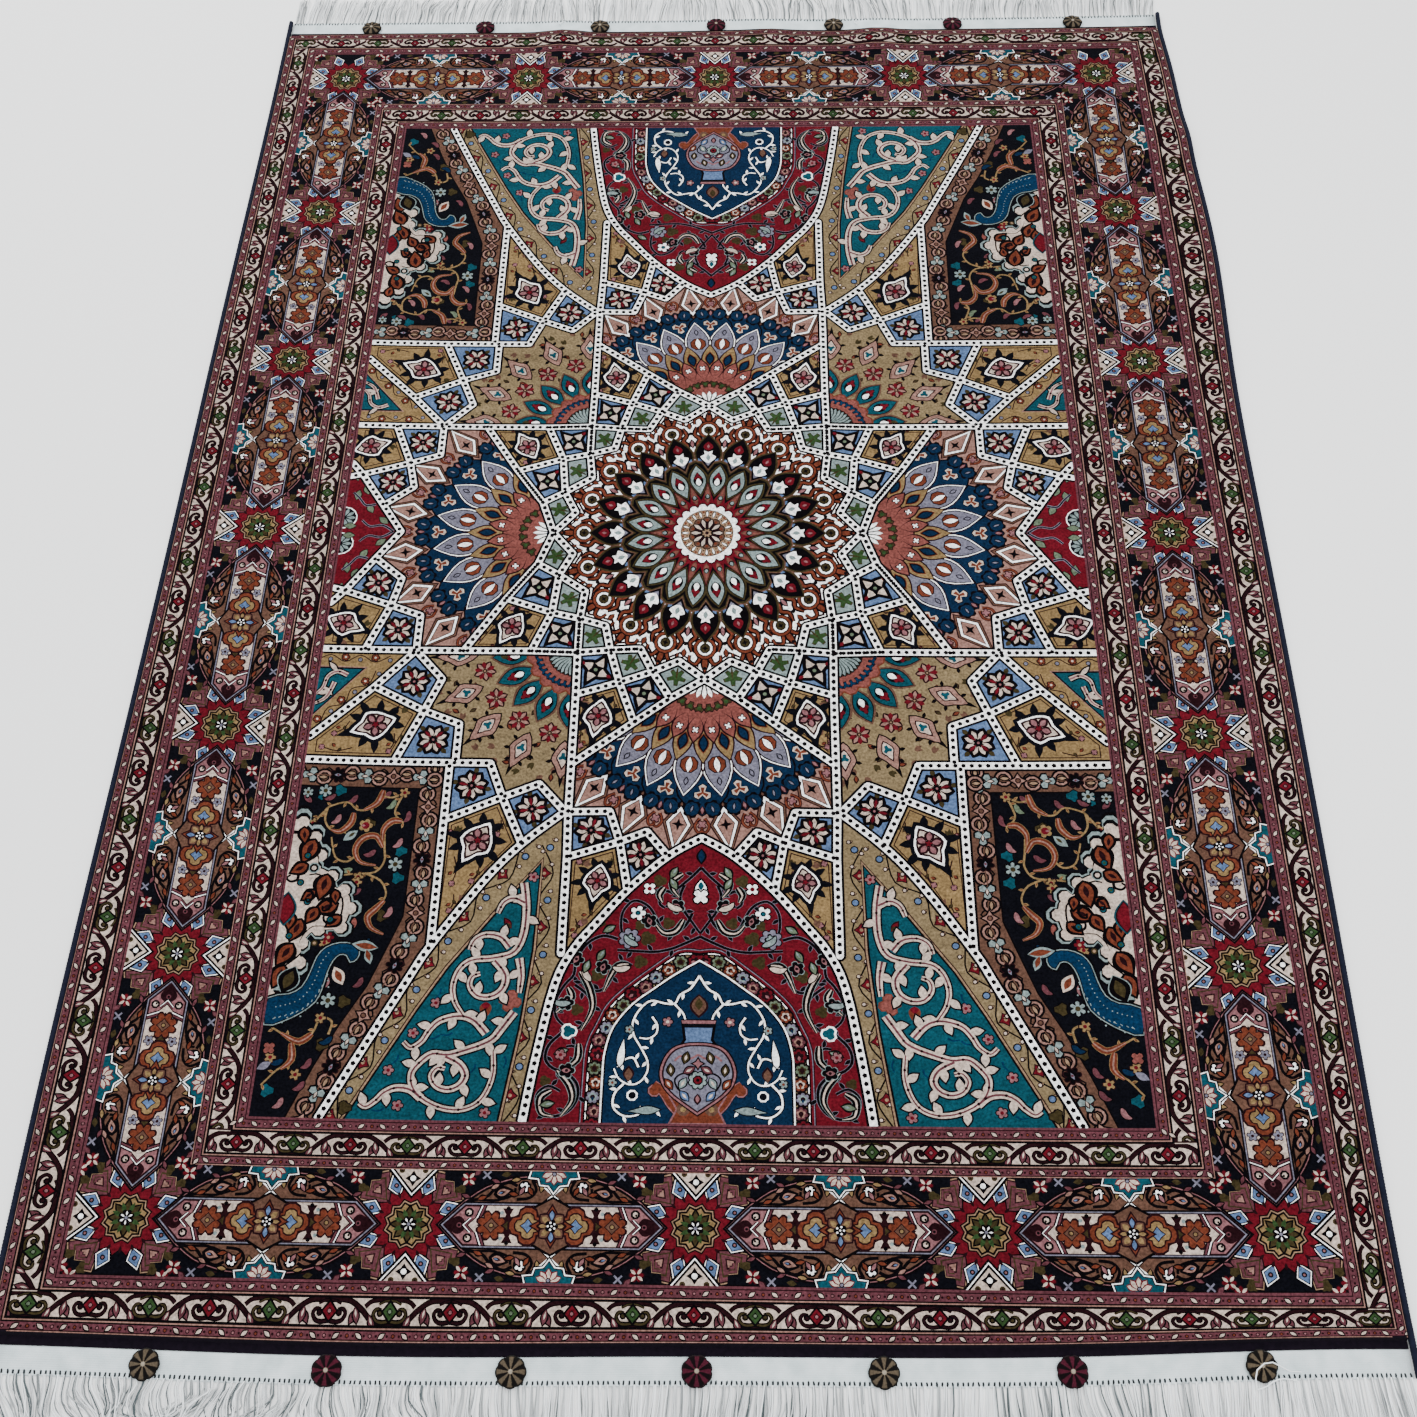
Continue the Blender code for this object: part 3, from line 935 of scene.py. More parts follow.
# %% The spandrel
TEAL_LEFT = [197+490j, 200+600j, 209.5+700j, 226+813j]
TEAL_RIGHT = [197+490j, 234.5+540j, 270.5+590j, 296.5+626j, 328+680j, 365+750j, 398+813j]
TEAL_SCROLLS = (
    [215+514j, 210+545j, 211+580j, 221+604j, 245+612j, 270+615j, 284+627j, 290+648j, 286+668j, 275+685j],
    [212+540j, 226+534j, 238+540j, 244+554j],
    [226+598j, 238+585j, 256+582j, 269+589j, 274+602j],
    [214+612j, 210+634j, 211+656j],
    [243+615j, 229+633j, 231+651j, 244+661j, 260+660j, 270+648j, 268+636j, 259+632j],
    [246+707j, 260+692j, 275+686j, 291+688j, 304+694j, 313+705j, 320+718j, 332+726j, 341+719j],
    [215+680j, 227+698j, 237+713j, 250+721j, 268+728j, 288+734j, 306+733j, 319+743j, 328+757j,
     325+774j, 313+787j, 293+797j, 270+800j, 251+793j, 240+778j, 234+755j, 236+729j],
    [291+736j, 274+745j, 266+758j, 271+770j, 284+776j, 298+772j, 305+760j, 299+750j, 290+751j],
    [314+787j, 327+777j, 344+775j, 357+781j, 365+790j, 376+798j, 384+794j],
)


def spandrel():
    made = [("bronze", [167+418j, 171+418j, *BRANCH[4:], 197+813j, *ARCH[-12:][::-1], 165+605j])]
    bloom = edged("red", star(4, 7.5, 4.4), "maroon", 1.4) + [("sand", circle(2.2))]
    for line, start in (
        ([182+445j, 189+466j, 188+535j, 189+608j, 199+680j, 207+745j, 213+825j], 0.62),
        ([196+452j, 219+478j, 262+532j, 305+592j, 333+648j, 362+710j, 396+770j, 420+825j], 0.95),
    ):
        made += vine(line, 35.3, 8, "black", [ring_dot(), bloom], start, 2)
        for k, (at, way) in enumerate(stations(line, 17.65, start / 2 + 0.25)):
            made += place(petals(("black", 10, 5), ("sand", 8, 2.6, 1)), at, way + 80 * (-1) ** k)
            made += place(discs(("maroon", 3.2, 6j * (-1) ** k, 7),
                ("ivory", 2, 6j * (-1) ** k, 6)), at, way)
    teal = TEAL_LEFT + TEAL_RIGHT[:0:-1]
    made += rimmed(teal, ("maroon", 6), ("sand", 4.6), ("black", 2.4), ("teal", 0))
    fill = place(edged("salmon", lobed(4, 13, 8), "rust", 1.2), 221+666j, 30)
    fill += place(petals(("rust", 22, 14, 0, 0.35), ("red", 10, 10, 0, 0.4)), 249+668j, 90)
    fill += place(petals(("maroon", 18, 9), ("red", 14, 6, 1), ("olive", 7, 4, 2)), 226+574j, -55)
    fill += scatter(small_flower("pink", "red", 6.5, "ink"), 308+670j, 331+708j, 355+754j, 340+796j,
        204+506j, 240+803j)
    fill += scatter(ribbon("blue", through([0, 6+3j, 14+2j]), 2.4, 1.2), (228+628j, 70), (255+645j, 20),
        (304+652j, 60), (255+745j, 50), (300+710j, 10), (345+735j, 50), (262+780j, 30), (300+760j, 80),
        (285+707j, 0), (222+735j, 80), (355+800j, 0))
    fill += scrolls(TEAL_SCROLLS, "ivory", "rose")
    return made + fill


# %% [markdown]
# ### The arch and the niche
# A red arch with dark arabesques stands round a navy niche. In the niche a vase on the rug's middle line
# sends up white stems. Only its right half is drawn, because the other half is its mirror image.

# %% The arch
NICHE_OUT = through([603j, 24+603j, 55+625j, 85+650j, 105+672j, 115.5+695j, 124+715j, 127.5+740j,
    128.5+813j])
NICHE_IN = through([616j, 26+632j, 50+650j, 75+670j, 95.5+697j, 104+725j, 106+750j, 106.5+813j])

NICHE_FRAME = [-30+603j, *NICHE_OUT, 128.5+840j,
    -30+840j]  # past the mirror lines, so its edges show only where they should
NICHE_PANEL = [-26+632j, *NICHE_IN, 106.5+840j, -26+840j]


def arch():
    made = [("red", [452j, *ARCH, 813j])]
    made += rimmed(NICHE_FRAME, ("maroon", 5), ("lilac", 3.6), ("red", 2.6))
    for at, size in (
        (50+510j, 9), (38+565j, 8), (62+585j, 10), (72+568j, 7), (70+615j, 9), (120+632j, 9), (142+676j, 8),
        (174+764j, 7), (118+566j, 5),
    ):
        made += place([("olive", lobed(3, size, size * 0.7))], at)
    curves = [
        [492j, 12+505j, 24+516j, 34+525j],
        [34+526j, 42+523j, 49+530j, 49+540j, 43+545j],
        [20+515j, 25+530j, 20+548j, 8+566j, 578j],
        [10+552j, 17+567j, 31+578j, 46+572j, 54+556j, 64+542j, 80+536j, 92+548j, 95+564j, 92+580j, 80+592j],
        [582j, 16+590j, 34+598j, 54+602j, 76+601j, 98+600j],
        [98+586j, 116+582j, 134+592j, 146+612j, 148+632j, 158+645j, 167+664j, 166+685j, 154+698j],
        [80+620j, 92+615j, 101+625j, 106+642j, 116+652j, 130+650j, 138+640j, 134+632j],
        [146+645j, 130+658j, 124+674j, 130+690j, 140+700j],
        [157+704j, 172+720j, 175+738j, 163+750j, 146+750j, 138+736j, 142+722j, 152+722j],
        [152+752j, 138+766j, 136+784j, 146+800j, 164+806j, 180+796j, 182+780j, 170+770j, 156+776j],
    ]
    for curve in curves:
        made += leafed(petals(("lilac", 12, 5.6), ("black", 11, 4.6, 0.5)), through(curve), 24, 58)
    made += outlined(curves, "lilac", "black", 4.6, 3.6)
    for leaf in (
        [22+500j, 33+508j, 34+520j, 26+531j], [20+560j, 29+575j, 44+577j, 56+562j],
        [84+618j, 96+620j, 104+632j, 112+653j], [141+628j, 129+648j, 124+674j, 136+702j],
        [138+718j, 139+738j, 156+751j], [161+751j, 146+768j, 142+787j, 154+806j],
        [166+775j, 178+784j, 176+802j, 162+806j],
        [44+518j, 50+528j, 46+538j], [154+648j, 149+660j, 158+672j, 166+680j],
    ):
        made += curled_leaf(leaf)
    made += scatter([("mist", lobed(5, 10.5, 7)), ("black", lobed(5, 9.4, 6.4)), ("pink", petal(11, 6, -5)),
        ("maroon", circle(2))], (28+543j, -30), (61+562j, 110), (114+622j, 70), (155+668j, 80),
        (150+751j, 0), (146+612j, 60))
    made += place([("black", lobed(7, 14.5, 11)), ("lilac", lobed(7, 13, 9)), ("black", lobed(5, 8, 5)),
        ("mist", lobed(5, 5.5, 3))], 84+585j)
    made += place(half_leaf("ivory"), 22+548j, -20) + place(half_leaf("mist"), 150+668j, 0)
    made += place(half_leaf("ivory"), 82+622j, 10) + place(half_leaf("ivory"), 128+640j, -60)
    made += place(half_leaf("mist"), 74+594j, -30)
    made += scatter(petals(("black", 20, 12), ("sage", 16, 7, 2), ("mist", 9, 2.6, 3)), (28+490j, 60),
        (38+505j, 120), (112+598j, 60), (130+612j, 70), (148+725j, 20), (160+790j, 10), (100+568j, 30))
    made += place(edged("white", lobed(5, 9.5, 5), "black", 1.6)
        + discs(("black", 3.6), ("teal", 2.2)), 75+552j)
    made += place(edged("white", lobed(4, 8, 4), "black", 1.6) + [("red", circle(3))], 62+520j)
    made += place(edged("teal", lobed(3, 8, 5.5), "white", 2.2), 150+703j)
    made += place(small_flower("pink", "red"), 158+732j)
    made += place(edged("white", petal(26, 14), "black", 2) + [("teal", petal(12, 7, 2))], 508j, 90)
    made += place(edged("white", lobed(4, 10, 5), "black", 2), 530j)
    return made + place(petals(("black", 22, 13), ("navy", 17, 8, 2)), 466j, 90)


# %% The niche


def vase():
    """The right half of the vase and its foot, about the point 752 mm from the rug's middle."""
    made = edged("sky", [-17-62j, 17-62j, 14-40j, 20-30j, -20-30j, -14-40j], "black", 3.4)
    made += [("ink", [-18-60j, 18-60j, 17-55j, -17-55j]), ("pink", [-20-64j, 20-64j, 19-60j, -19-60j])]
    foot = through([0+54j, 14+50j, 28+38j, 38+24j, 50+14j])
    for yarn, wide in (("black", 20.6), ("pink", 18.4), ("rust", 14.6)):
        made += ribbon(yarn, foot, wide, wide * 0.5) + [(yarn, circle(wide * 0.42, 49+22j))]
    made += edged("rust", [-30+60j, 30+60j, 22+44j, 30+30j, -30+30j, -22+44j], "pink", 2)
    made += discs(("copper", 8, 16+44j), ("gold", 3.4, 16+44j))
    side = through([-34j, 14-33j, 27-28j, 36-17j, 41-1j, 38+14j, 28+27j, 14+38j, 48j], 3)
    body = side + [-p.conjugate() for p in side[-2:0:-1]]
    made += scaled(body, 4j, ("black", 1.1), ("pink", 1.06), ("maroon", 1), ("lilac", 0.95))
    half = ribbon("pink", through([0-22j, 9-17j, 20-20j, 27-14j]), 2.6)
    half += ribbon("black", through([8+4j, 17+1j, 26+8j, 22+20j, 10+30j]), 2.2)
    for at, way, yarn in (
        (14-18j, 75, "olive"), (31-3j, 95, "olive"), (33+14j, 125, "rust"), (17+13j, 60, "mist"),
        (10-3j, 30, "rose"), (15+28j, 130, "sky"),
    ):
        half += place(petals(("black", 18, 11, -9), (yarn, 14.6, 7.6, -7.3), ("ivory", 8, 3, -4)), at, way)
    made += half + place([("black", star(4, 9, 4.6)), ("pink", star(4, 6, 3))], -11j)
    made += place([("black", lobed(8, 12, 10)), ("mist", lobed(8, 10.4, 8)), ("black", circle(6.2)),
        ("red", circle(4.6)), ("black", circle(2))], 9j)
    return made + place(petals(("maroon", 14, 9, -7), ("pink", 9, 4.6, -5)), 32j, 90)


def niche():
    made = rimmed(NICHE_FRAME, ("black", 0), ("white", -1.8), ("black", -3.2), ("bronze", -4.8))
    middle = through([612j, 28+618j, 53+638j, 80+660j, 100+684j, 113+712j, 117+745j, 117.5+820j])
    blooms = [
        palmette("red", "maroon", "pink", 0.8), palmette("sage", "olive", "maroon", 0.72),
        palmette("rust", "ivory", "rust", 0.72), palmette("lilac", "mist", "navy", 0.7),
        palmette("rose", "peach", "maroon", 0.72),
    ]
    made += vine(middle, 8.6, 9, "black", [petals(("maroon", 9, 5.4, -1), ("rust", 7, 3)),
        petals(("maroon", 9, 5, -1), ("ivory", 7, 2.4))], 0.6, 2)
    made += vine(middle, 17.2, 3.5, "black", [[("black", grown(bloom[0][1], 1.3))] + bloom
        for bloom in blooms], 0.3, 2)
    made += rimmed(NICHE_PANEL, ("white", 3.8), ("black", 2), ("navy", 0))
    curves = [
        [632j, 10+648j, 22+656j, 28+667j, 40+667j, 56+664j, 68+674j, 76+690j, 75+706j, 66+722j, 58+738j,
         58+752j, 66+764j, 78+767j, 90+760j, 96+748j],
        [28+668j, 18+680j, 15+690j], [54+684j, 48+694j, 49+705j, 58+711j, 68+710j],
        [84+766j, 94+778j, 95+794j, 84+804j, 70+804j, 58+798j, 44+797j],
        [68+746j, 74+735j, 84+737j, 92+746j],
    ]
    for yarn, wide in (("black", 5.6), ("white", 2.4)):
        for curve in map(through, curves):
            made += leafed([(yarn, grown(petal(10, 4), wide / 4 - 0.8))], curve, 19, 52)
            made += ribbon(yarn, curve, wide, wide * 0.7)
    made += place(edged("white", petal(34, 8, 0, 0.35), "black", 1.4), 90+746j, -97)
    made += place(edged("mist", petal(36, 9, 0, 0.6), "ink", 1.4), 78+799j, 184)
    made += place(small_flower("pink", "ivory", 6, "ink"), 36+690j)
    made += place(edged("ink", circle(4.6), "white", 2), 74+780j)
    made += place(petals(("maroon", 20, 13), ("copper", 16, 9, 1)), 79+764j, -90)
    made += place(small_flower("mist", "rust", 5, "ink"), 97+765j)
    made += place(small_flower("mist", "rust", 5, "ink"), 80+700j)
    made += place(petals(("maroon", 30, 22), ("copper", 25, 17, 2), ("olive", 15, 9, 5)), 655j, 90)
    return made + place(vase(), 752j)


# %% [markdown]
# ### The corner panel
# Outside the branching strap a rose-brown band of palmettes frames a dark panel. In the panel run gold
# arabesques, a cloud band and a long blue leaf, all of them old and common rug motifs.

# %% The corner panel
PANEL = [358+390j, 360+560j, 374.5+600j, 393+650j, 420+700j, 443+750j, 468+813j, 508+813j, 508+390j]


def corner_panel():
    made = [("copper", [322+352j, 508+352j, CORNER, 429+813j, *BRANCH[:11:-1], 322+598j])]
    side = [343+352j, 343.5+560j, 352+600j, 372+650j, 398+700j, 424+757j, 452+825j]
    top = [330+373j, 520+373j]
    lotus = [
        ("black", lobed(3, 13, 5, 4, 60)), ("mist", lobed(3, 10.4, 3, 4, 60)), ("maroon", petal(11, 6, -4)),
        ("ivory", petal(8, 3, -3)),
    ]
    gem = [
        ("black", star(4, 12.5, 7)), ("peach", star(4, 9.4, 4.8)), ("maroon", circle(4)),
        ("copper", circle(2.4)),
    ]
    dark = [
        ("maroon", lobed(7, 11.5, 8)), ("black", lobed(7, 10, 6)), ("lilac", petal(9, 4, -4)),
        ("rose", circle(1.6)),
    ]
    loop = discs(("black", 12.4, 0, 12), ("peach", 9.6, 0, 12), ("black", 7.2), ("copper", 5))
    loop += petals(("black", 15, 8, -6), ("sand", 11, 4, -4.4))
    for line in (side, top):
        made += vine(line, 17.7, 10, "black", [petals(("black", 13, 7, -1), ("sand", 10, 3.4)),
            petals(("black", 13, 7, -1), ("rose", 10, 3.8))], 0.25, 2.2)
        made += vine(line, 35.4, 1, "copper", [place(loop, 3j), place(loop, -3j)], 0.25, 1.2)
        made += vine(line, 35.4, 1, "copper", [lotus, gem, lotus, dark], 0.75, 1.2)
    made += [("black", grown(PANEL, 2)), ("ink", PANEL)]
    for at, yarn in (
        (417+671j, "olive"), (415+438j, "olive"), (478+400j, "teal"), (457+394j, "teal"),
        (371+474j, "teal"), (371+510j, "teal"), (400+800j, "olive"), (436+725j, "olive"),
        (492+782j, "teal"), (384+560j, "olive"),
    ):
        made += place([("black", lobed(3, 10, 7, 3)), (yarn, lobed(3, 8.6, 5.5, 3))], at)
    for at, way, yarn in (
        (392+394j, 40, "rose"), (434+400j, 50, "rose"), (371+457j, 60, "pink"), (402+474j, 35, "rose"),
        (452+427j, 60, "pink"), (460+468j, 75, "rose"), (374+548j, 70, "pink"), (417+564j, 80, "salmon"),
        (414+526j, 30, "rose"), (492+412j, -50, "rose"), (446+742j, 60, "rose"), (472+790j, 60, "pink"),
        (440+640j, 80, "pink"), (385+405j, 60, "sage"), (462+400j, 30, "rose"), (366+420j, 80, "rose"),
        (450+770j, 50, "rose"), (398+640j, 60, "rose"), (428+500j, 10, "sage"), (396+590j, 60, "navy"),
        (425+715j, 40, "navy"), (478+745j, 20, "navy"), (500+480j, 80, "navy"),
    ):
        made += place(half_leaf(yarn, "black", 16, 9), at, way)
    for curve in (
        [375+395j, 381+408j, 384+424j, 372+436j], [404+392j, 404+406j, 416+418j, 432+420j, 446+410j,
        470+418j, 474+430j],
        [470+418j, 471+436j, 460+449j, 444+446j], [394+452j, 392+470j, 390+488j, 400+503j, 424+506j,
        446+509j],
        [424+478j, 436+490j, 452+484j, 460+458j], [412+505j, 392+514j, 383+530j, 386+542j],
        [474+424j, 484+438j, 486+446j], [430+712j, 428+696j, 442+692j, 449+711j, 464+721j, 486+712j,
        500+704j],
        [470+722j, 468+745j, 484+757j, 500+776j], [375+395j, 390+402j, 402+400j],
    ):
        made += leafed(petals(("gold", 8, 3.6), ("rust", 5, 1.6, 1)), through(curve), 19, 60)
        made += ribbon("gold", through(curve), 2.8, 2)
    for body in (
        [374+434j, 386+434j, 396+446j, 395+464j], [402+392j, 408+410j, 424+420j],
        [436+424j, 438+438j, 450+450j, 462+448j],
        [394+470j, 404+455j, 420+458j, 428+474j, 420+490j, 400+494j],
        [384+540j, 394+552j, 402+562j, 396+576j, 380+584j],
        [449+712j, 464+722j, 486+712j], [472+724j, 469+744j, 480+756j],
    ):
        shape = curled_leaf(body, 8, "red", "gold")
        made += [shape[0], ("rust", shape[1][1]), ("peach", shape[2][1])]
    made += place(edged("gold", lobed(5, 9, 6), "black", 1) + [("red", circle(5)), ("pink", petal(6, 3))],
        419+441j)
    made += place(petals(("mist", 22, 11), ("olive", 10, 4, 4)), 428+448j, 40)
    made += scatter([("maroon", lobed(5, 8.5, 5, 3)), ("gold", lobed(5, 7, 3.6, 3)), ("red", circle(2.4))],
        375+395j, 420+510j, 486+440j, 442+692j, 421+517j, 450+597j, 462+762j, 494+742j)
    for at, size in ((376+492j, 11), (476+395j, 10), (436+670j, 11), (498+398j, 8)):
        made += place([("black", lobed(6, size + 1.2, size * 0.6)),
            ("mist", lobed(6, size * 0.86, size * 0.36)), ("olive", circle(size * 0.3))], at)
    cloud = [
        508+436j, 501+437j, 491+447j, 480+459j, 470+475j, 471+487j, 478+493j, 480+502j, 470+500j, 457+505j,
        450+515j, 446+525j, 436+528j, 427+537j, 425+552j, 427+567j, 435+578j, 449+580j, 464+581j, 474+592j,
        480+607j, 475+621j, 484+632j, 497+644j, 503+660j, 508+668j,
    ]
    cloud = through(cloud, 2) + [540+668j, 540+436j]
    heart = 484+552j
    for yarn, size, bump in (
        ("black", 1.1, 12.6), ("mist", 1.07, 11.2), ("black", 1.035, 9.6), ("ivory", 1, 8.2),
    ):
        made += scaled(cloud, heart, (yarn, size))
        made += [(yarn, circle(bump, heart + size * (at - heart))) for at,
            _ in stations(cloud[:-2], 27, 0.4)]
    made += scaled(cloud, heart, ("black", 0.87), ("ivory", 0.83))
    made += discs(("mist", 7.6, 476+500j), ("black", 5.8, 476+500j), ("ivory", 3, 476+500j))
    for at, way, long in (
        (480+462j, 70, 34), (458+508j, 80, 34), (440+546j, 20, 30), (482+568j, 70, 30), (488+600j, 60, 32),
        (434+562j, 40, 22), (496+446j, 100, 22), (484+496j, 30, 24), (494+628j, 70, 30), (464+552j, 60, 24),
        (446+528j, 100, 18), (496+560j, 90, 22), (470+530j, 40, 20),
    ):
        made += place(petals(("black", long + 5, long * 0.86, -2, 0.4),
            ("rust", long - 2, long * 0.52, 1, 0.4)), at, way)
        made += place([("maroon", petal(long * 0.5, long * 0.2, 5))], at, way)
    made += scatter(discs(("black", 5), ("teal", 3.4), ("green", 1.6)), 490+520j, 447+567j, 478+545j,
        494+590j, 486+484j)
    made += scatter(ribbon("black", through([0, 6+6j, 14+3j, 15-4j, 9-4j]), 4, 2.4), (440+566j, 0),
        (456+540j, 100), (494+508j, 40), (482+530j, 120))
    made += place(petals(("teal", 46, 27), ("maroon", 42, 23, 2), ("red", 38, 19, 4)), 503+532j, 90)
    made += place(petals(("mist", 38, 28), ("black", 36, 25, 1), ("olive", 24, 13, 7)), 480+628j, 70)
    leaf = through([415+619j, 409+615j, 408+606j, 416+599j, 431+598j, 446+604j, 455+616j, 460+635j,
        468+655j, 483+665j, 507+671j,
                    506+701j, 486+696j, 467+685j, 452+671j, 446+653j, 443+634j, 438+619j, 430+610j,
                    420+611j], 2, closed=True)
    made += rimmed(leaf, ("black", 5), ("mist", 2.4), ("ink", 1.2), ("blue", 0))
    ridge = stations(through([444+606j, 453+622j, 458+645j, 472+668j, 500+678j]), 5.5)
    made += scatter(discs(("mist", 0.9, 3j, 5), ("navy", 1.3, -4j, 5)), *ridge)
    for k, (at, way) in enumerate(stations(through([440+634j, 449+660j, 466+682j, 500+695j]), 7)):
        made += place([("mist", circle(1.2, (k % 3) * 4j, 5)),
            ("mist", ribbon("mist", [0, 3+1j], 1)[0][1])], at, way)
    made += place(petals(("black", 36, 17), ("mist", 33, 14, 1), ("rust", 28, 8, 2)), 383+602j, -8)
    made += place(petals(("mist", 20, 10), ("rust", 16, 6)), 398+604j, 110)
    made += place(petals(("ivory", 26, 15), ("rust", 18, 8, 4)), 421+650j, -60)
    made += place([("black", lobed(4, 9, 6)), ("salmon", lobed(4, 7.6, 4.4))], 497+731j)
    made += place([("lilac", petal(18, 9))], 492+748j, 30)
    made += place([("red", lobed(5, 7, 4)), ("sand", circle(2.2))], 446+590j)
    made += place(discs(("olive", 4), ("sand", 2)), 462+598j)
    return made


# %% [markdown]
# ### The two small pieces at the side
# Beside the east half-dome the lattice leaves a red piece and a teal one.

# %% The side pieces


def side_pieces():
    made = [("red", [EAST["tip"], 508+0j, 508+118j, EAST["out"], EAST["top"]])]
    made += place(edged("ink", circle(17, 0, 14), "white", 1.6)
        + around([("mist", petal(13, 5, 3, 0.6))], 10), 508+22j)
    made += scatter(petals(("maroon", 20, 12), ("sage", 17, 9, 1.5)), (444+12j, 40), (468+30j, 60),
        (478+62j, 70), (488+8j, 0), (495+52j, 100), (496+86j, 70))
    made += outlined([[436, 452+10j, 470+8j, 482+18j], [466+46j, 480+44j, 490+56j, 500+66j]], "lilac",
        "black", 4, 2.2)
    triangle = [EAST["post"], 508+190j, 508+320j, WING["right"]]
    made += [("gold", triangle)]
    made += vine([400+204j, 520+204j], 20, 5, "maroon",
        [ring_dot("lilac", 3.6), small_flower("rust", "ivory", 5)], 0.8)
    made += vine([418+214j, 452+246j, 512+308j], 20, 5, "maroon",
        [ring_dot("lilac", 3.6), small_flower("rust", "ivory", 5)], 0.8)
    inner = [452+220j, 509+220j, 509+287j]
    made += rimmed(inner, ("peach", 4), ("ink", 2.6), ("teal", 0))
    return made + scrolls(([470+229j, 484+224j, 496+232j, 500+248j, 508+258j],
        [486+240j, 494+262j, 508+272j]), "ivory", "pink", 6)
# %% [markdown]
# ## The borders
# Three rings stand round the field: a narrow guard, the broad main border and a second guard. A ring's
# repeats are drawn once, in place along an end, and then set out along both sides of the quarter.

# %% Ring helpers


def square_to(u, v):
    """The quarter's outline out to a distance from each of the rug's two middle lines."""
    return [0, complex(u, 0), complex(u, v), complex(0, v)]


def on_end(motif, along, v):
    return place(motif, complex(along, v))


def on_side(motif, along, u):
    """The motif turned so that what points outwards at the end points outwards at the side."""
    return place(motif, complex(u, along), 90, flip=True)


def four_ways(motif):
    return both_ways(motif + squashed(motif, -1))


# %% [markdown]
# ### The guards
# A guard is an ivory strip between two rose ones. In the ivory strip a maroon vine swings past red blossoms
# and green ones in turn, 129 mm to a repeat; the rose strips carry slanted pale dashes.

# %% The guards
GUARD_UNIT = 129.3
GUARD_STRIPES = (  # distance of each stripe's outer edge from the guard's inner edge
    (57, "peach"), (56, "maroon"), (54.8, "rose"), (47.6, "black"), (46, "peach"), (44.6, "black"),
    (42, "ivory"), (18.2, "black"), (15.6, "peach"), (14.2, "black"), (12.6, "rose"), (4, "maroon"),
    (2.8, "rose"),
)


def guard_flower(bloom, middle, hook):
    """A diamond blossom of a guard between two hooked leaves, 40 mm wide."""
    made = []
    for yarn, wide in (("black", 5), (hook, 2.2)):
        made += ribbon(yarn, through([1+8.6j, 8+9.6j, 14+8j, 17.4+2.6j, 14.4-2j, 9-1j], 3), wide,
            wide * 0.8)
        made += ribbon(yarn, through([0-10j, 6-9.4j, 12-6.4j], 3), wide * 0.8, wide * 0.5)
    made += discs(("black", 3.8, 10.4+1.4j, 7), (hook, 2, 10.4+1.4j, 6))
    made += squashed(made, -1)
    return made + [("black", [-9.6, 11.4j, 9.6, -11.4j]), (bloom, [-7, 8j, 7, -8j]),
        ("black", [-3.2, 3.6j, 3.2, -3.6j]), (middle, circle(1.9, 0, 6))]


def guard(u, v, dashes=24.4):
    """A guard ring round a rectangle that reaches u and v from the middle."""
    made = [(yarn, square_to(u + off, v + off)) for off, yarn in GUARD_STRIPES]
    swing = [complex(a, b) for a, b in ((0, -10.5), (20, -9.8), (34, -2), (46, 8), (64.65, 10.2))]
    swing += [GUARD_UNIT - p.conjugate() for p in swing[-2::-1]]
    unit = []
    for yarn, wide in (("black", 6), ("maroon", 3.6)):
        unit += ribbon(yarn, through(swing), wide)
        unit += ribbon(yarn, through([38-4j, 46-9.6j, 64.65-11j, 83.3-9.6j, 91.3-4j]), wide * 0.8)
    leaf = petals(("black", 18, 9.4), ("rose", 14.6, 6, 1.4), ("ivory", 8, 2.2, 3))
    for at, way in ((30-3j, 118), (27-5j, 78), (42+2j, 64)):
        unit += place(leaf, at, way) + place(leaf, GUARD_UNIT - at.conjugate(), 180 - way)
    for setter, reach, level in ((on_side, v + 15, u + 30), (on_end, u + 42, v + 30)):
        strip = []
        for k in range(-1, round(reach / GUARD_UNIT) + 1):
            strip += setter(unit, GUARD_UNIT * k, level)
        for k in range(round(reach / GUARD_UNIT * 2) + 1):
            yarns = ("green", "sage", "olive") if k % 2 else ("red", "pink", "maroon")
            strip += setter(guard_flower(*yarns), GUARD_UNIT / 2 * k, level)
        if setter is on_side:
            made += inside(strip, [complex(level - 12, 0), complex(level + 12, 0),
                complex(level + 12, reach), complex(level - 12, reach)])
            made += [("maroon", [complex(level - 12, reach), complex(level + 12, reach),
                complex(level + 12, reach + 2), complex(level - 12, reach + 2)])]
        else:
            made += inside(strip, [complex(0, level - 12), complex(reach, level - 12),
                complex(reach, level + 12), complex(0, level + 12)])
    for off in (8.3, 51.5):
        for setter, reach, level in ((on_side, v + off, u + off), (on_end, u + off, v + off)):
            count = int(reach / dashes)
            for k in range(count + 1):
                lean = 35 if k % 2 else -35
                mark = petals(("black", 11, 6.4, -5.5), ("ivory", 8, 3.6, -4))
                made += setter(place(mark, 0, lean), dashes * (k + 0.5), level)
                small = discs(("maroon", 2.4, 0, 6), ("rust" if k % 2 else "pink", 1.4, 0, 5))
                made += setter(small, dashes * k, level)
                for shift in (-6.4, 6.4):
                    made += setter([("maroon", circle(1.5, shift, 5))], dashes * k, level)
    return made


# %% [markdown]
# ### The main border
# Long cartouches and sixteen-rayed stars take turns on a near-black ground.

# %% The main border
BORDER_U, BORDER_V = 565, 870
STAR_LINE = 61  # from the border's inner edge to the middle of its stars
END_STARS, SIDE_STARS = 313.0, 310.3  # from star to star


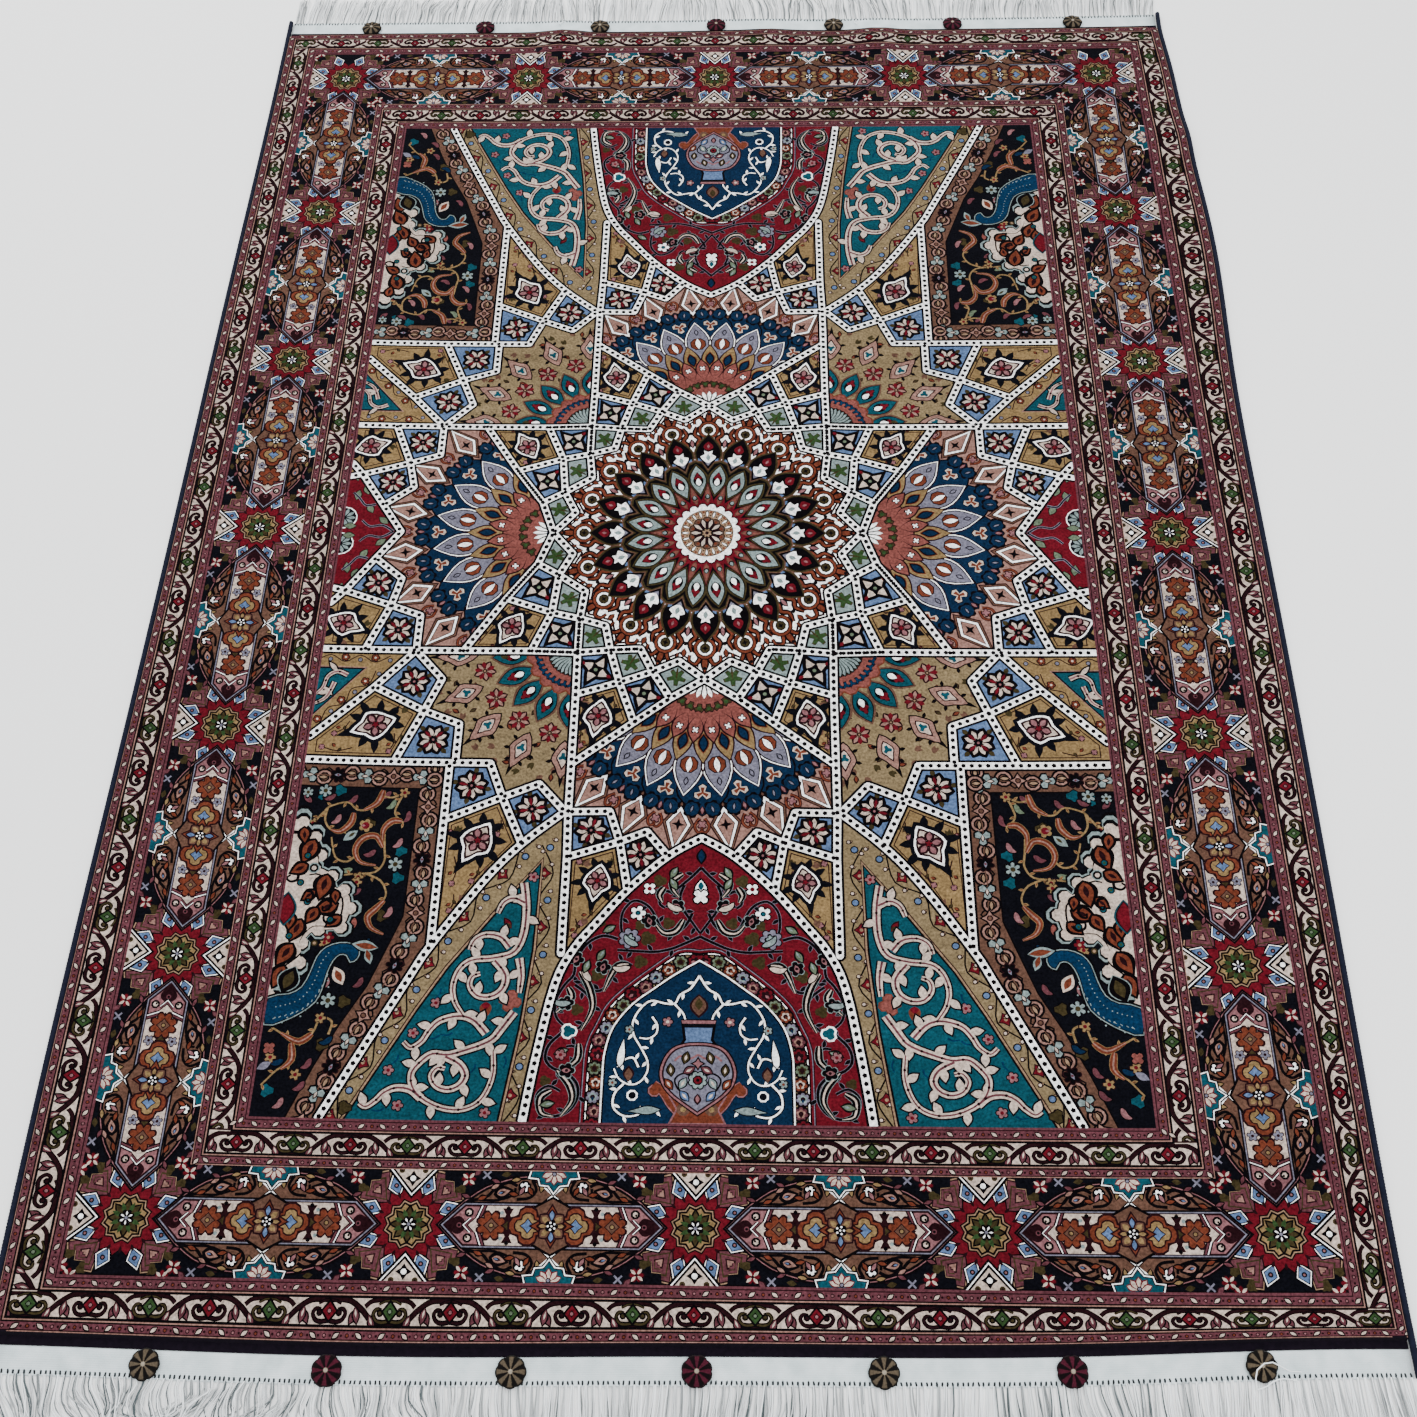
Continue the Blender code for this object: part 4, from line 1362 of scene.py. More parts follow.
def cartouche(bars):
    """A lens of copper wool with an ivory band through it, 248 by 122 mm.

    Along the ends maroon bars part the band's flowers, along the sides lilac blossoms do."""
    arc = through([-97+26j, -74+42j, -45+52j, -22+54.6j, 22+54.6j, 45+52j, 74+42j, 97+26j], 3)
    lens = [*arc, 123+0j, *[p.conjugate() for p in reversed(arc)], -123+0j]
    made = rimmed(lens, ("black", 3), ("pink", 0.7), ("black", -0.3), ("copper", -3))
    quarter = ribbon("black", through([92+27j, 74+31j, 64+41j, 50+48j, 40+44j]), 3.6)
    quarter += ribbon("black", through([56+29j, 44+34j, 42+42j]), 3)
    quarter += ribbon("black", through([40+29j, 26+31j, 19+40j, 24+51j]), 3.4)
    quarter += ribbon("black", through([80+28j, 60+28j, 50+34j]), 3)
    quarter += place(petals(("black", 23, 16, 0, 0.4), ("peach", 15, 8, 4, 0.4), ("maroon", 9, 4, 5),
        ("sky", 5, 2, 6)), 66+34j, 165)
    quarter += [("black", circle(7.6, 32+43j)), *place([("white", lobed(5, 5.4, 3.4))], 32+43j),
        ("black", circle(2, 32+43j))]
    for at, way, yarn in (
        (84+28j, 160, "rust"), (22+33j, 60, "rust"), (48+50j, 170, "gold"), (70+40j, 150, "peach"),
        (14+36j, 100, "gold"), (58+47j, 20, "rose"), (38+33j, 120, "pink"), (13+48j, 30, "rose"),
        (90+30j, 20, "rose"), (50+36j, 190, "rust"),
    ):
        quarter += place(petals(("black", 13, 7.6), (yarn, 10, 4, 1.4)), at, way)
    made += four_ways(quarter)
    strip = [-123, -97+25.5j, -12+25.5j, 0+36j, 12+25.5j, 97+25.5j, 123]
    strip += [p.conjugate() for p in strip[-2:0:-1]]
    made += rimmed(strip, ("black", 0.6), ("lilac", -1.4), ("maroon", -2.8), ("pink", -5))
    made += both_ways(ribbon("white", [-14+22j, 0+34j, 16+48j], 1.6)
        + ribbon("white", [14+22j, 0+34j, -16+48j], 1.6))
    ends = [("maroon", petal(23, 20, 93, 0.4)), ("rose", circle(3, 101)), ("black", circle(1.6, 101))]
    made += ends + squashed(ends, -1)
    made += four_ways(discs(("black", 5.4, 91+14j), ("ivory", 3, 91+14j, 6), ("black", 1.5, 92+13j, 5)))
    steps = [(93, 0), (85, 8), (79, 6), (73, 21.5)]
    for yarn, more in (
        ("black", 6), ("white", 4.2), ("maroon", 3), ("rose", 1.6), ("black", -0.4), ("ivory", -2),
    ):
        side = [complex(a + more, b) for a, b in steps]
        half = side + [-p.conjugate() for p in reversed(side)]
        made.append((yarn, half + [p.conjugate() for p in reversed(half[1:-1])]))
    made += [("black", [-60, 33j, 60, -33j]), ("copper", [-54, 30j, 54, -30j])]
    if bars:
        bar = [
            ("maroon", [-6+19j, 6+19j, 2.4+12j, 5+5j, -5+5j, -2.4+12j]), ("black", circle(2.6, 0+19j, 6)),
        ]
        made += four_ways(place(bar + [("mist", circle(2.4, 7+14j, 6))], 48))
        made += petals(("olive", 18, 9, 39), ("olive", 18, 9, -57))
    else:
        bud = [("maroon", lobed(5, 7, 4.4)), ("lilac", lobed(5, 5.8, 3)), ("maroon", circle(1.8))]
        made += four_ways(place(bud, 47+14j) + [("maroon", petal(9, 3, 50))])
        made += petals(("olive", 20, 8, 40), ("olive", 20, 8, -60))
    flower = [
        ("maroon", lobed(8, 18, 13)), ("rust", lobed(8, 15.4, 10)), ("maroon", star(4, 9, 6)),
        ("copper", star(4, 7.4, 5)),
    ]
    flower += discs(("maroon", 3.2), ("gold", 2)) + [("maroon", petal(5, 2.4, 11))]
    made += place(flower, 66) + place(flower, -66, 180)
    diamond = [
        ("maroon", lobed(4, 22.6, 16.4, 5, start=45)), ("rust", lobed(4, 20.2, 13.4, 5, start=45)),
        ("maroon", lobed(4, 15.4, 11, 5, start=45)),
    ]
    diamond += [("gold", lobed(4, 13.6, 9, 5, start=45)), ("maroon", star(4, 9, 5.6)),
        ("sky", star(4, 7.4, 4.4))]
    made += scatter(diamond, 26, -26)
    made += [("maroon", grown(star(4, 23, 12, 90), 1.2)), ("rust", star(4, 22, 11.5, 90))]
    made += around(petals(("maroon", 19, 15, 0, 0.6), ("copper", 17, 11, 0, 0.6), ("gold", 12, 6, 3, 0.6)),
        4, start=45)
    made += around(petals(("maroon", 16, 9, 3, 0.6), ("sky", 12, 5, 5, 0.6)), 2, start=90)
    made += around(petals(("maroon", 14, 8, 3, 0.6), ("gold", 10, 4.4, 4, 0.6)), 2)
    made += [("black", lobed(5, 7.6, 5.4)), *around([("white", circle(1.3, 0, 5))], 5, 4),
        ("white", circle(1.2, 0, 5))]
    palm = [0+37j, 6+45j, 15+46j, 17+53j, 27+54j, 24+64j]
    palm += [-p.conjugate() for p in reversed(palm[1:])]
    for row in (("black", 3), ("white", 1.4), ("maroon", 0.2), ("teal", -1)):
        made += both_ways(rimmed(palm, row))
    for way in (-158, -128, -90, -52, -22):
        made += both_ways(place(petals(("red", 15, 8, 0, 0.6), ("ivory", 13, 5, 1, 0.6)), 60j, way))
    return made + both_ways(discs(("maroon", 3, 58j), ("lilac", 1.8, 58j)))


def border_star():
    """A sixteen-rayed red star about a gold one, with pale kites round it, 122 mm across."""
    steps = [20+20j, 26+60j, 35+58j, 35+49j, 46+48j, 47+36j, 57+35j, 58+27j]
    heart = 38+37j
    made = four_ways(scaled(
        steps, heart, ("black", 1.08), ("sand", 1.02), ("maroon", 0.95), ("rose", 0.88), ("olive", 0.66),
        ("rose", 0.56), ("maroon", 0.3), ("peach", 0.2),
    ))
    pale = [
        ("black", [29, 46-11j, 63, 46+11j]), ("white", [32.4, 46-9j, 59.6, 46+9j]),
        ("ink", [34, 46-7.8j, 57.6, 46+7.8j]),
    ]
    pale += [("sky", [36, 46-6.6j, 55.6, 46+6.6j]), ("ink", circle(3, 46)), ("pink", circle(1.5, 46, 5))]
    made += around(pale, 8, 0, 22.5)
    made += [("black", star(16, 43, 34.5, 11.25)), ("red", star(16, 40.4, 33, 11.25))]
    made += around([("maroon", petal(8, 3.6, 30))], 16)
    made += [("black", star(12, 29, 24.4, 15)), ("sand", star(12, 27, 22.8, 15)),
        ("black", star(12, 25.4, 21.2, 15)), ("gold", star(12, 22.6, 18.8, 15))]
    made += around(petals(("black", 21, 10, 1), ("olive", 18, 7, 1)), 8)
    made += around([("green", petal(14, 5, 4))], 8, start=22.5)
    made += [("black", lobed(8, 9.4, 7)), *around([("white", petal(5, 2.2, 2.4, 0.6))], 6),
        ("lilac", circle(2))]
    tip = [
        ("black", [-34+66j, 0+28j, 34+66j]), ("white", [-30+66j, 0+31.6j, 30+66j]),
        ("black", [-28+66j, 0+33.6j, 28+66j]),
    ]
    tip += [("ivory", [-25+66j, 0+37.6j, 25+66j]),
        *place([("black", star(4, 9, 5)), ("white", circle(3.2))], 51j)]
    for at in (13, -13):
        tip += discs(("olive", 3.4, at + 60j), ("maroon", 1.4, at + 60j, 5))
    return made + both_ways(tip)


def main_border():
    u, v = BORDER_U, BORDER_V
    made = [
        ("black", square_to(u + 122, v + 122)), ("ink", square_to(u + 120.5, v + 120.5)),
        ("black", square_to(u + 1.5, v + 1.5)),
    ]
    blossom = [
        ("maroon", lobed(6, 9, 5.6)), ("red", lobed(6, 7.6, 4.4)),
        *around([("ivory", petal(8, 3.4, 1))], 4, start=20), ("maroon", circle(1.8)),
    ]
    blossom += place(petals(("maroon", 13, 8), ("rose", 10, 5, 1)), 7, 20)
    cross = [("lilac", [-6+1j, -1+1j, -1+6j, 1+6j, 1+1j, 6+1j, 6-1j, 1-1j, 1-6j, -1-6j, -1-1j, -6-1j])]
    extras = place(blossom, 62+51j, 30) + place(cross, 82+56j, 45)
    extras += place([("olive", lobed(3, 7, 5))], 54+38j)
    extras += place([("olive", petal(11, 6))], 98+56j, 10)
    extras += place(small_flower("rose", "peach", 4.6), 110+50j)
    for setter, pitch, stars, level in (
        (on_side, SIDE_STARS, 4, u + STAR_LINE), (on_end, END_STARS, 3, v + STAR_LINE),
    ):
        for k in range(stars):
            made += setter(four_ways(extras), pitch * k, level)
    for k in range(4):
        made += on_side(border_star(), SIDE_STARS * k, u + STAR_LINE)
    for k in range(2):
        made += on_end(border_star(), END_STARS * k, v + STAR_LINE)
    for k in range(3):
        made += on_side(cartouche(False), SIDE_STARS * (k + 0.5), u + STAR_LINE)
    for k in range(2):
        made += on_end(cartouche(True), END_STARS * (k + 0.5), v + STAR_LINE)
    return made
# %% [markdown]
# ## From cartoon to pile
# Painted shapes that lie over each other can't be knotted: each knot has one colour. So the cartoon is cut
# into triangles along every outline, each triangle takes the yarn of the topmost shape over it, and the
# outlines that nothing shows of are dropped. Blender's Delaunay tool does the cutting. Extra points between
# the shapes let the surface follow the ripples.

# %% The weaver's chart
STEP = 22.0  # mm between the points that let the pile follow the floor and its ripples
STRAIGHT, LONGEST = 0.16, 60  # a point this near to a line may go, if the line stays this short, in mm


def triangles(points, edges, faces, kind):
    """Blender's Delaunay triangles: points, faces and, for each face, the outlines that it lies in."""
    made = delaunay_2d_cdt([Vector((p.real, p.imag)) for p in points], edges, faces, kind, 1e-4)
    return [complex(v.x, v.y) for v in made[0]], made[2], made[5]


def visible_lines(points, faces, yarns):
    """The edges where one yarn meets another, without the points that straight runs don't need."""
    seen = {}
    for face, yarn in zip(faces, yarns):
        for a, b in zip(face, face[1:] + face[:1]):
            seen.setdefault((min(a, b), max(a, b)), []).append(yarn)
    near = {}  # the points next to each point along the kept lines
    for (a, b), both in seen.items():
        if len(both) == 1 or both[0] != both[1]:
            near.setdefault(a, set()).add(b)
            near.setdefault(b, set()).add(a)
    for spot in list(near):
        if len(near[spot]) != 2:
            continue
        a, b = near[spot]
        span = points[b] - points[a]
        away = abs((span.conjugate() * (points[spot] - points[a])).imag) / (abs(span) or 1)
        if away < STRAIGHT and b not in near[a] and abs(span) < LONGEST:
            near[a].remove(spot)
            near[b].remove(spot)
            near[a].add(b)
            near[b].add(a)
            del near[spot]
    return near


def turned_left(outline):
    """The outline with its corners in anticlockwise order."""
    return outline if area(outline) > 0 else outline[::-1]


def touches(outline, window):
    (u0, v0), (u1, v1) = window
    across, along = [p.real for p in outline], [p.imag for p in outline]
    return max(across) > u0 and min(across) < u1 and max(along) > v0 and min(along) < v1


def charted(shapes, window, hole=None):
    """Cuts a cartoon into triangles inside a window, and outside a hole at its near corner.

    Gives their corners in mm, their indices and their yarns."""
    shapes = [(yarn, turned_left(outline)) for yarn, outline in shapes if touches(outline, window)]
    points, faces, edges = [], [], []
    for _, outline in shapes:
        faces.append(list(range(len(points), len(points) + len(outline))))
        points += outline
    (u0, v0), (u1, v1) = window
    frames = [[complex(u0, v0), complex(u1, v0), complex(u1, v1), complex(u0, v1)]]
    frames += [[complex(hole[0], v0), complex(*hole), complex(u0, hole[1])]] if hole else []
    for frame_line in frames:
        first, count = len(points), len(frame_line)
        points += frame_line
        edges += [(first + k, first + k + 1) for k in range(count - 1)]
        edges += [(first + count - 1, first)] if count == 4 else []
    points, faces, over = triangles(points, edges, faces, 1)

    def shown(face):
        middle = sum(points[k] for k in face) / 3
        if not (u0 < middle.real < u1 and v0 < middle.imag < v1):
            return False
        return not (hole and middle.real < hole[0] and middle.imag < hole[1])

    solid = [(face, shapes[max(found)][0]) for face, found in zip(faces, over) if found and shown(face)]
    near = visible_lines(points, [face for face, _ in solid], [yarn for _, yarn in solid])
    tree = BVHTree.FromPolygons([(p.real, p.imag, 0) for p in points], [face for face, _ in solid])
    number = {spot: k for k, spot in enumerate(near)}
    kept = [points[spot] for spot in near]
    edges = []
    for a in near:
        for b in near[a]:
            if a < b:
                count = math.ceil(abs(points[b] - points[a]) / STEP)
                chain = [number[a], *range(len(kept), len(kept) + count - 1), number[b]]
                kept += [points[a] + (points[b] - points[a]) * k / count for k in range(1, count)]
                edges += zip(chain, chain[1:])
    for a in np.arange(u0 + STEP / 2, u1, STEP):
        for b in np.arange(v0 + STEP / 2, v1, STEP):
            if not (hole and a < hole[0] and b < hole[1]):
                kept.append(complex(a, b))
    points, faces, _ = triangles(kept, edges, [], 0)
    chart_faces, chart_yarns = [], []
    for face in faces:
        middle = sum(points[k] for k in face) / 3
        hit = tree.ray_cast((middle.real, middle.imag, 1), (0, 0, -1))[2]
        if hit is not None:
            chart_faces.append(face)
            chart_yarns.append(solid[hit][1])
    return points, chart_faces, chart_yarns


# %% [markdown]
# ### Four quarters and a bake layout
# The quarter is mirrored twice with the mirror operator, laid as the rug lies, and coloured: one colour
# value for each triangle. A UV layout for baking, named OFBake, fills the whole image with the piece,
# and a border ring is cut into four strips laid side by side, so no pixel is spent on the hole.

# %% Knotting a zone of the pile
YARN_NAMES = list(YARNS)


def knotted(name, shapes, layout, window, hole=None):
    """A piece of the pile's face, as an object. layout says where a point of it goes in the bake."""
    points, faces, yarns = charted(shapes, window, hole)
    mesh = bpy.data.meshes.new(name)
    mesh.from_pydata([(p.real * MM, p.imag * MM, 0) for p in points], [], faces)
    made = bmesh.new()
    made.from_mesh(mesh)
    layer = made.faces.layers.int.new("yarn")
    for face, yarn in zip(made.faces, yarns):
        face[layer] = YARN_NAMES.index(yarn)
    for axis in ("X", "Y"):
        bmesh.ops.mirror(made, geom=[*made.verts, *made.edges, *made.faces], axis=axis, merge_dist=1e-6)
    made.normal_update()
    for face in made.faces:
        if face.normal.z < 0:
            face.normal_flip()
    made.to_mesh(mesh)
    made.free()
    spots = np.array([vert.co for vert in mesh.vertices])
    u, v = spots[:, 0], spots[:, 1]
    corners = np.array([loop.vertex_index for loop in mesh.loops])
    middles = spots[corners.reshape(-1, 3)].mean(axis=1).repeat(3, axis=0)
    dyes = np.array([linear(YARNS[key]) for key in YARN_NAMES], np.float32)
    knots = np.array([item.value for item in mesh.attributes["yarn"].data])
    wool_color = mesh.attributes.new("wool", "FLOAT_COLOR", "CORNER")
    wool_color.data.foreach_set("color", dyes[knots].repeat(3, axis=0).ravel())
    weave = mesh.attributes.new("weave", "FLOAT_VECTOR", "POINT")
    weave.data.foreach_set("vector", spots.astype(np.float32).ravel())
    bake = mesh.uv_layers.new(name="OFBake")
    bake.data.foreach_set("uv", layout(u[corners], v[corners], middles).astype(np.float32).ravel())
    x, y, lift = lie(u, v)
    laid_spots = np.stack([x, y, lift + pile_height(u, v)], axis=1)
    mesh.vertices.foreach_set("co", laid_spots.astype(np.float32).ravel())
    mesh.shade_smooth()
    mesh.update()
    print(name, "has", len(mesh.polygons), "triangles")
    return add_object(name, mesh)


def block_layout(half_u, bands):
    """The bake layout of a piece that is one or two blocks: bands are its stretches of v, in mm."""

    def layout(u, v, middles):
        total = sum(high - low for low, high in bands) * MM
        along, start = np.zeros_like(v), 0.0
        for low, high in bands:
            mine = (middles[:, 1] >= low * MM) & (middles[:, 1] <= high * MM)
            along = np.where(mine, (start + v - low * MM) / total, along)
            start += (high - low) * MM
        return np.clip(np.stack([u / (2 * half_u * MM) + 0.5, along], axis=1), 0, 1)

    return layout


def ring_layout(inner_u, inner_v, wide):
    """The bake layout of a border ring, all in mm: its four sides as four strips."""

    def layout(u, v, middles):
        past_u, past_v = np.abs(u) - inner_u * MM, np.abs(v) - inner_v * MM
        beside = np.abs(middles[:, 0]) - inner_u * MM > np.abs(middles[:, 1]) - inner_v * MM
        strip = np.where(beside, np.where(middles[:, 0] > 0, 0, 1), np.where(middles[:, 1] > 0, 2, 3))
        along = np.where(beside, v, u) / (2 * (inner_v + wide) * MM) + 0.5
        across = np.where(beside, past_u, past_v) / (wide * MM)
        return np.clip(np.stack([along, (strip + 0.02 + 0.96 * across) / 4], axis=1), 0, 1)

    return layout


# %% [markdown]
# ## The wool pile
# Hand-spun wool, dyed in small lots and clipped short. Each knot takes the dye a little differently, a new
# lot shows as a faint band across the rug (weavers call it abrash), and the clipped fibres scatter light at
# a low angle as a soft sheen. The knots are about 1.4 mm apart, which is near the limit of the picture, so
# the flecks are drawn at 2 to 4 mm and the tufts' unevenness at 9 mm.

# %% Wool
def wool_material():
    made, shader = new_material("hand_knotted_wool_pile", 0.95, sheen=0.01, specular=0.01)
    yarn = add_node(made, "ShaderNodeAttribute", {"attribute_name": "wool"}).outputs["Color"]
    weave = add_node(made, "ShaderNodeAttribute", {"attribute_name": "weave"}).outputs["Vector"]
    rows = add_node(made, "ShaderNodeMapping", Vector=weave, Scale=(2.5, 60, 1)).outputs["Vector"]
    abrash = noise(made, rows, 1.0, 3.0)
    fleck, tuft, wear = noise(made, weave, 3.2 * MM), noise(made, weave, 11 * MM), noise(made, weave,
        260 * MM, 3.0)
    shade = ranged(made, abrash, 0.86, 1.14)
    for source, low, high in ((fleck, 0.5, 1.45), (tuft, 0.8, 1.18), (wear, 0.9, 1.1)):
        shade = maths(made, "MULTIPLY", shade, ranged(made, source, low, high))
    settings = {"bands_direction": "Y"}
    lines = add_node(made, "ShaderNodeTexWave", settings, Vector=weave, Scale=1 / (4.785 * MM),
        Distortion=1.5).outputs[1]
    relief = maths(made, "MULTIPLY_ADD", lines, 0.3, noise(made, weave, 2.0 * MM, 1.0))
    relief = maths(made, "MULTIPLY_ADD", tuft, 1.4, relief)
    return finish_material(made, shader, shaded(made, yarn, shade), relief, 0.5, 1.2 * MM)


wool = wool_material()

# %% [markdown]
# The field's cartoon is put together from the back to the front: the part-domes first, then what their rims
# are cut by, then the kites, the central star and, over every joint, the straps.

# %% Knot the field
FIELD_CUT = 352.0  # mm from the middle, along a strap: the field's middle and its ends are two pieces


def field_cartoon():
    made = [("gold", square_to(FIELD_U, FIELD_V))]
    made += half_dome(EAST_FAN, 0, 19.5, 10) + half_dome(SOUTH_FAN, 90, 16.5, 10) + side_pieces()
    made += quarter_dome() + spandrel() + corner_panel() + arch() + niche()
    made += gold_kites() + outer_kites() + ring_of_kites() + centre() + straps()
    return made


cartoon = field_cartoon()
print("the field's quarter has", len(cartoon), "shapes")
whole_middle = block_layout(FIELD_U, [(-FIELD_CUT, FIELD_CUT)])
both_ends = block_layout(FIELD_U, [(-FIELD_V, -FIELD_CUT), (FIELD_CUT, FIELD_V)])
field_middle = knotted("pile_field_middle", cartoon, whole_middle, ((0, 0), (FIELD_U, FIELD_CUT)))
field_ends = knotted("pile_field_ends", cartoon, both_ends, ((0, FIELD_CUT), (FIELD_U, FIELD_V)))

# %% Knot the borders
OUTER_U, OUTER_V, GUARD_WIDE, BORDER_WIDE = 687, 992, 57, 122


def border_ring(name, shapes, u, v, wide):
    """A ring of the pile round a rectangle that reaches u and v from the middle."""
    return knotted(name, shapes, ring_layout(u, v, wide), ((0, 0), (u + wide, v + wide)), (u, v))


inner_guard = border_ring("pile_inner_guard", guard(FIELD_U, FIELD_V), FIELD_U, FIELD_V, GUARD_WIDE)
broad_border = border_ring("pile_main_border", main_border(), BORDER_U, BORDER_V, BORDER_WIDE)
outer_guard = border_ring("pile_outer_guard", guard(OUTER_U, OUTER_V), OUTER_U, OUTER_V, GUARD_WIDE)
pile_zones = [field_middle, field_ends, inner_guard, broad_border, outer_guard]
for piece in pile_zones:
    piece.data.materials.append(wool)
# %% [markdown]
# ## The foundation
# Under the knots lies the foundation: cotton warps and wefts that every knot is tied round. It shows at the
# pile's cut sides, in the flat dark rows at the two ends, and on the back. Its near-black colour is partly
# the dark wool of those rows and partly painted shade along the pile's ends and cut sides. It is one slab
# that fills the CAD solid up to just under the knots' tips.

# %% Yarn that is not dyed in a pattern
def plain_yarn(name, low, high, patch, thread, edge=0.3, sheen=0.05, specular=0.15, by=None):
    """Yarn between two colours: in patches, or from strand to strand by an attribute of the mesh."""
    made, shader = new_material(name, 0.9, sheen, specular)
    spot = add_node(made, "ShaderNodeTexCoord").outputs["Object"]
    if by:
        shade = add_node(made, "ShaderNodeAttribute", {"attribute_name": by}).outputs["Fac"]
    else:
        shade = noise(made, spot, patch, 3.0)
    colors = add_node(made, "ShaderNodeValToRGB", _0=shade)
    for stop, at, hex_color in zip(colors.color_ramp.elements, (edge, 1 - edge), (low, high)):
        stop.position, stop.color = at, linear(hex_color)
    return finish_material(made, shader, colors.outputs[0], noise(made, spot, thread, 1.0), 0.5, 0.5 * MM)


# %% Foundation
def lines_between(half, count, *more):
    return sorted({*np.linspace(-half, half, count + 1).tolist(), *more, *[-m for m in more]})


def woven_slab(us, vs):
    """A flat slab in a bmesh with its lines at the given places across and along.

    Its vertices hold u, v and 0 on the underside or 1 on the top."""
    made = bmesh.new()
    bmesh.ops.create_grid(made, x_segments=len(us) - 1, y_segments=len(vs) - 1, size=1)
    for vert in made.verts:
        column = round((vert.co.x + 1) / 2 * (len(us) - 1))
        row = round((vert.co.y + 1) / 2 * (len(vs) - 1))
        vert.co = (us[column], vs[row], 0)
    for item in bmesh.ops.extrude_face_region(made, geom=list(made.faces))["geom"]:
        if isinstance(item, bmesh.types.BMVert):
            item.co.z = 1
    bmesh.ops.recalc_face_normals(made, faces=made.faces)
    return made


def laid(made, height):
    """Moves a bmesh's vertices from the weave to where the rug lies, at a height above the floor."""
    spots = np.array([vert.co for vert in made.verts])
    x, y, lift = lie(spots[:, 0], spots[:, 1])
    for vert, spot in zip(made.verts, zip(x, y, height(spots) + lift)):
        vert.co = spot
    return made


def add_piece(name, made, material, smooth=True):
    mesh = bpy.data.meshes.new(name)
    made.to_mesh(mesh)
    made.free()
    mesh.materials.append(material)
    if smooth:
        mesh.shade_smooth()
    print(name, "has", len(mesh.polygons), "faces")
    return add_object(name, mesh)


KNOT_TIPS = 0.35 * MM  # how far the slab's top stays under the knots


def slab_height(spots):
    top = pile_height(spots[:, 0], spots[:, 1])
    return np.where(spots[:, 2] > 0.5, np.where(top > END_ROWS_TOP + 0.1 * MM, top - KNOT_TIPS, top), 0)


rows_line = HALF_LENGTH - END_ROWS
slab = woven_slab(
    lines_between(HALF_WIDTH, 62, HALF_WIDTH - SIDE_ROUNDING, HALF_WIDTH - SIDE_ROUNDING / 2),
    lines_between(HALF_LENGTH, 88, rows_line, rows_line + END_STEP / 2, rows_line + END_STEP),
)
# Near black: partly the dark wool of the flat end rows, partly painted shade along the pile's ends and cut
# sides.
dark_end_rows_and_shade = plain_yarn("wool_and_cotton_foundation", "#07060a", "#17101a", 5 * MM, 2.2 * MM, 0, 0.02, 0.02)
foundation = add_piece("pile_foundation", laid(slab, slab_height), dark_end_rows_and_shade, smooth=False)

# %% [markdown]
# ## The side cords
# Each long side is overcast: dark blue wool is wound round and round a bundle of warps. The cord is a grid
# rolled into a tube, thick where a turn of wool lies and thin between two turns.

# %% Side cords
TURN_PITCH = 3.6 * MM


def overcast_cord(name, side, material):
    made = bmesh.new()
    bmesh.ops.create_grid(made, x_segments=7, y_segments=int(2 * CORD_REACH / TURN_PITCH) * 2, size=1)
    spots = np.array([vert.co for vert in made.verts])
    angle, v = spots[:, 0] * math.pi, spots[:, 1] * CORD_REACH
    wound = (v / TURN_PITCH + angle / (2 * math.pi)) % 1
    radius = CORD_RADIUS * (0.84 + 0.16 * np.sin(math.pi * wound) ** 0.7)
    x, y, lift = lie(np.full_like(v, side * CORD_LINE), v)
    z = lift + CORD_RADIUS + radius * np.cos(angle)
    for vert, spot in zip(made.verts, zip(x + radius * np.sin(angle), y, z)):
        vert.co = spot
    bmesh.ops.remove_doubles(made, verts=made.verts, dist=1e-6)
    bmesh.ops.holes_fill(made, edges=[edge for edge in made.edges if edge.is_boundary], sides=0)
    bmesh.ops.recalc_face_normals(made, faces=made.faces)
    return add_piece(name, made, material)


navy_wool = plain_yarn("navy_overcast_wool", "#0a0b13", "#1a1d2e", 6 * MM, 1 * MM, 0, 0.03, 0.05)
cord_left = overcast_cord("overcast_cord_left", -1, navy_wool)
cord_right = overcast_cord("overcast_cord_right", 1, navy_wool)

# %% [markdown]
# ## The flat-woven ends
# At each end the warps run on past the last knots and are woven plain for three centimetres, in cotton: a
# strip of fine ribs. A row of dark stitches locks it, and beyond them the warps hang free as the fringe.

# %% Flat weave and its stitches
kilim_cotton = plain_yarn("flat_woven_cotton", "#bcc8ca", "#d8e1e4", 22 * MM, 1.3 * MM)
stitch_thread = plain_yarn("dark_stitch_thread", "#0c0f11", "#23292c", 4 * MM, 0.8 * MM)
KILIM_DEPTH, RIBS = KILIM_OUTER - KILIM_INNER, 13
STITCH_PITCH, STITCH_LINE = 5.3 * MM, KILIM_OUTER - 3.4 * MM


def flat_weave(name, end):
    vs = np.linspace(KILIM_INNER, KILIM_OUTER, RIBS * 4 + 1)

    def height(spots):
        rib = np.abs(np.sin(math.pi * (np.abs(spots[:, 1]) - KILIM_INNER) / KILIM_DEPTH * RIBS))
        return np.where(spots[:, 2] > 0.5, KILIM_TOP * (0.72 + 0.28 * rib), 0)

    made = woven_slab(np.linspace(-HALF_WIDTH, HALF_WIDTH, 60), vs if end > 0 else -vs[::-1])
    return add_piece(name, laid(made, height), kilim_cotton)


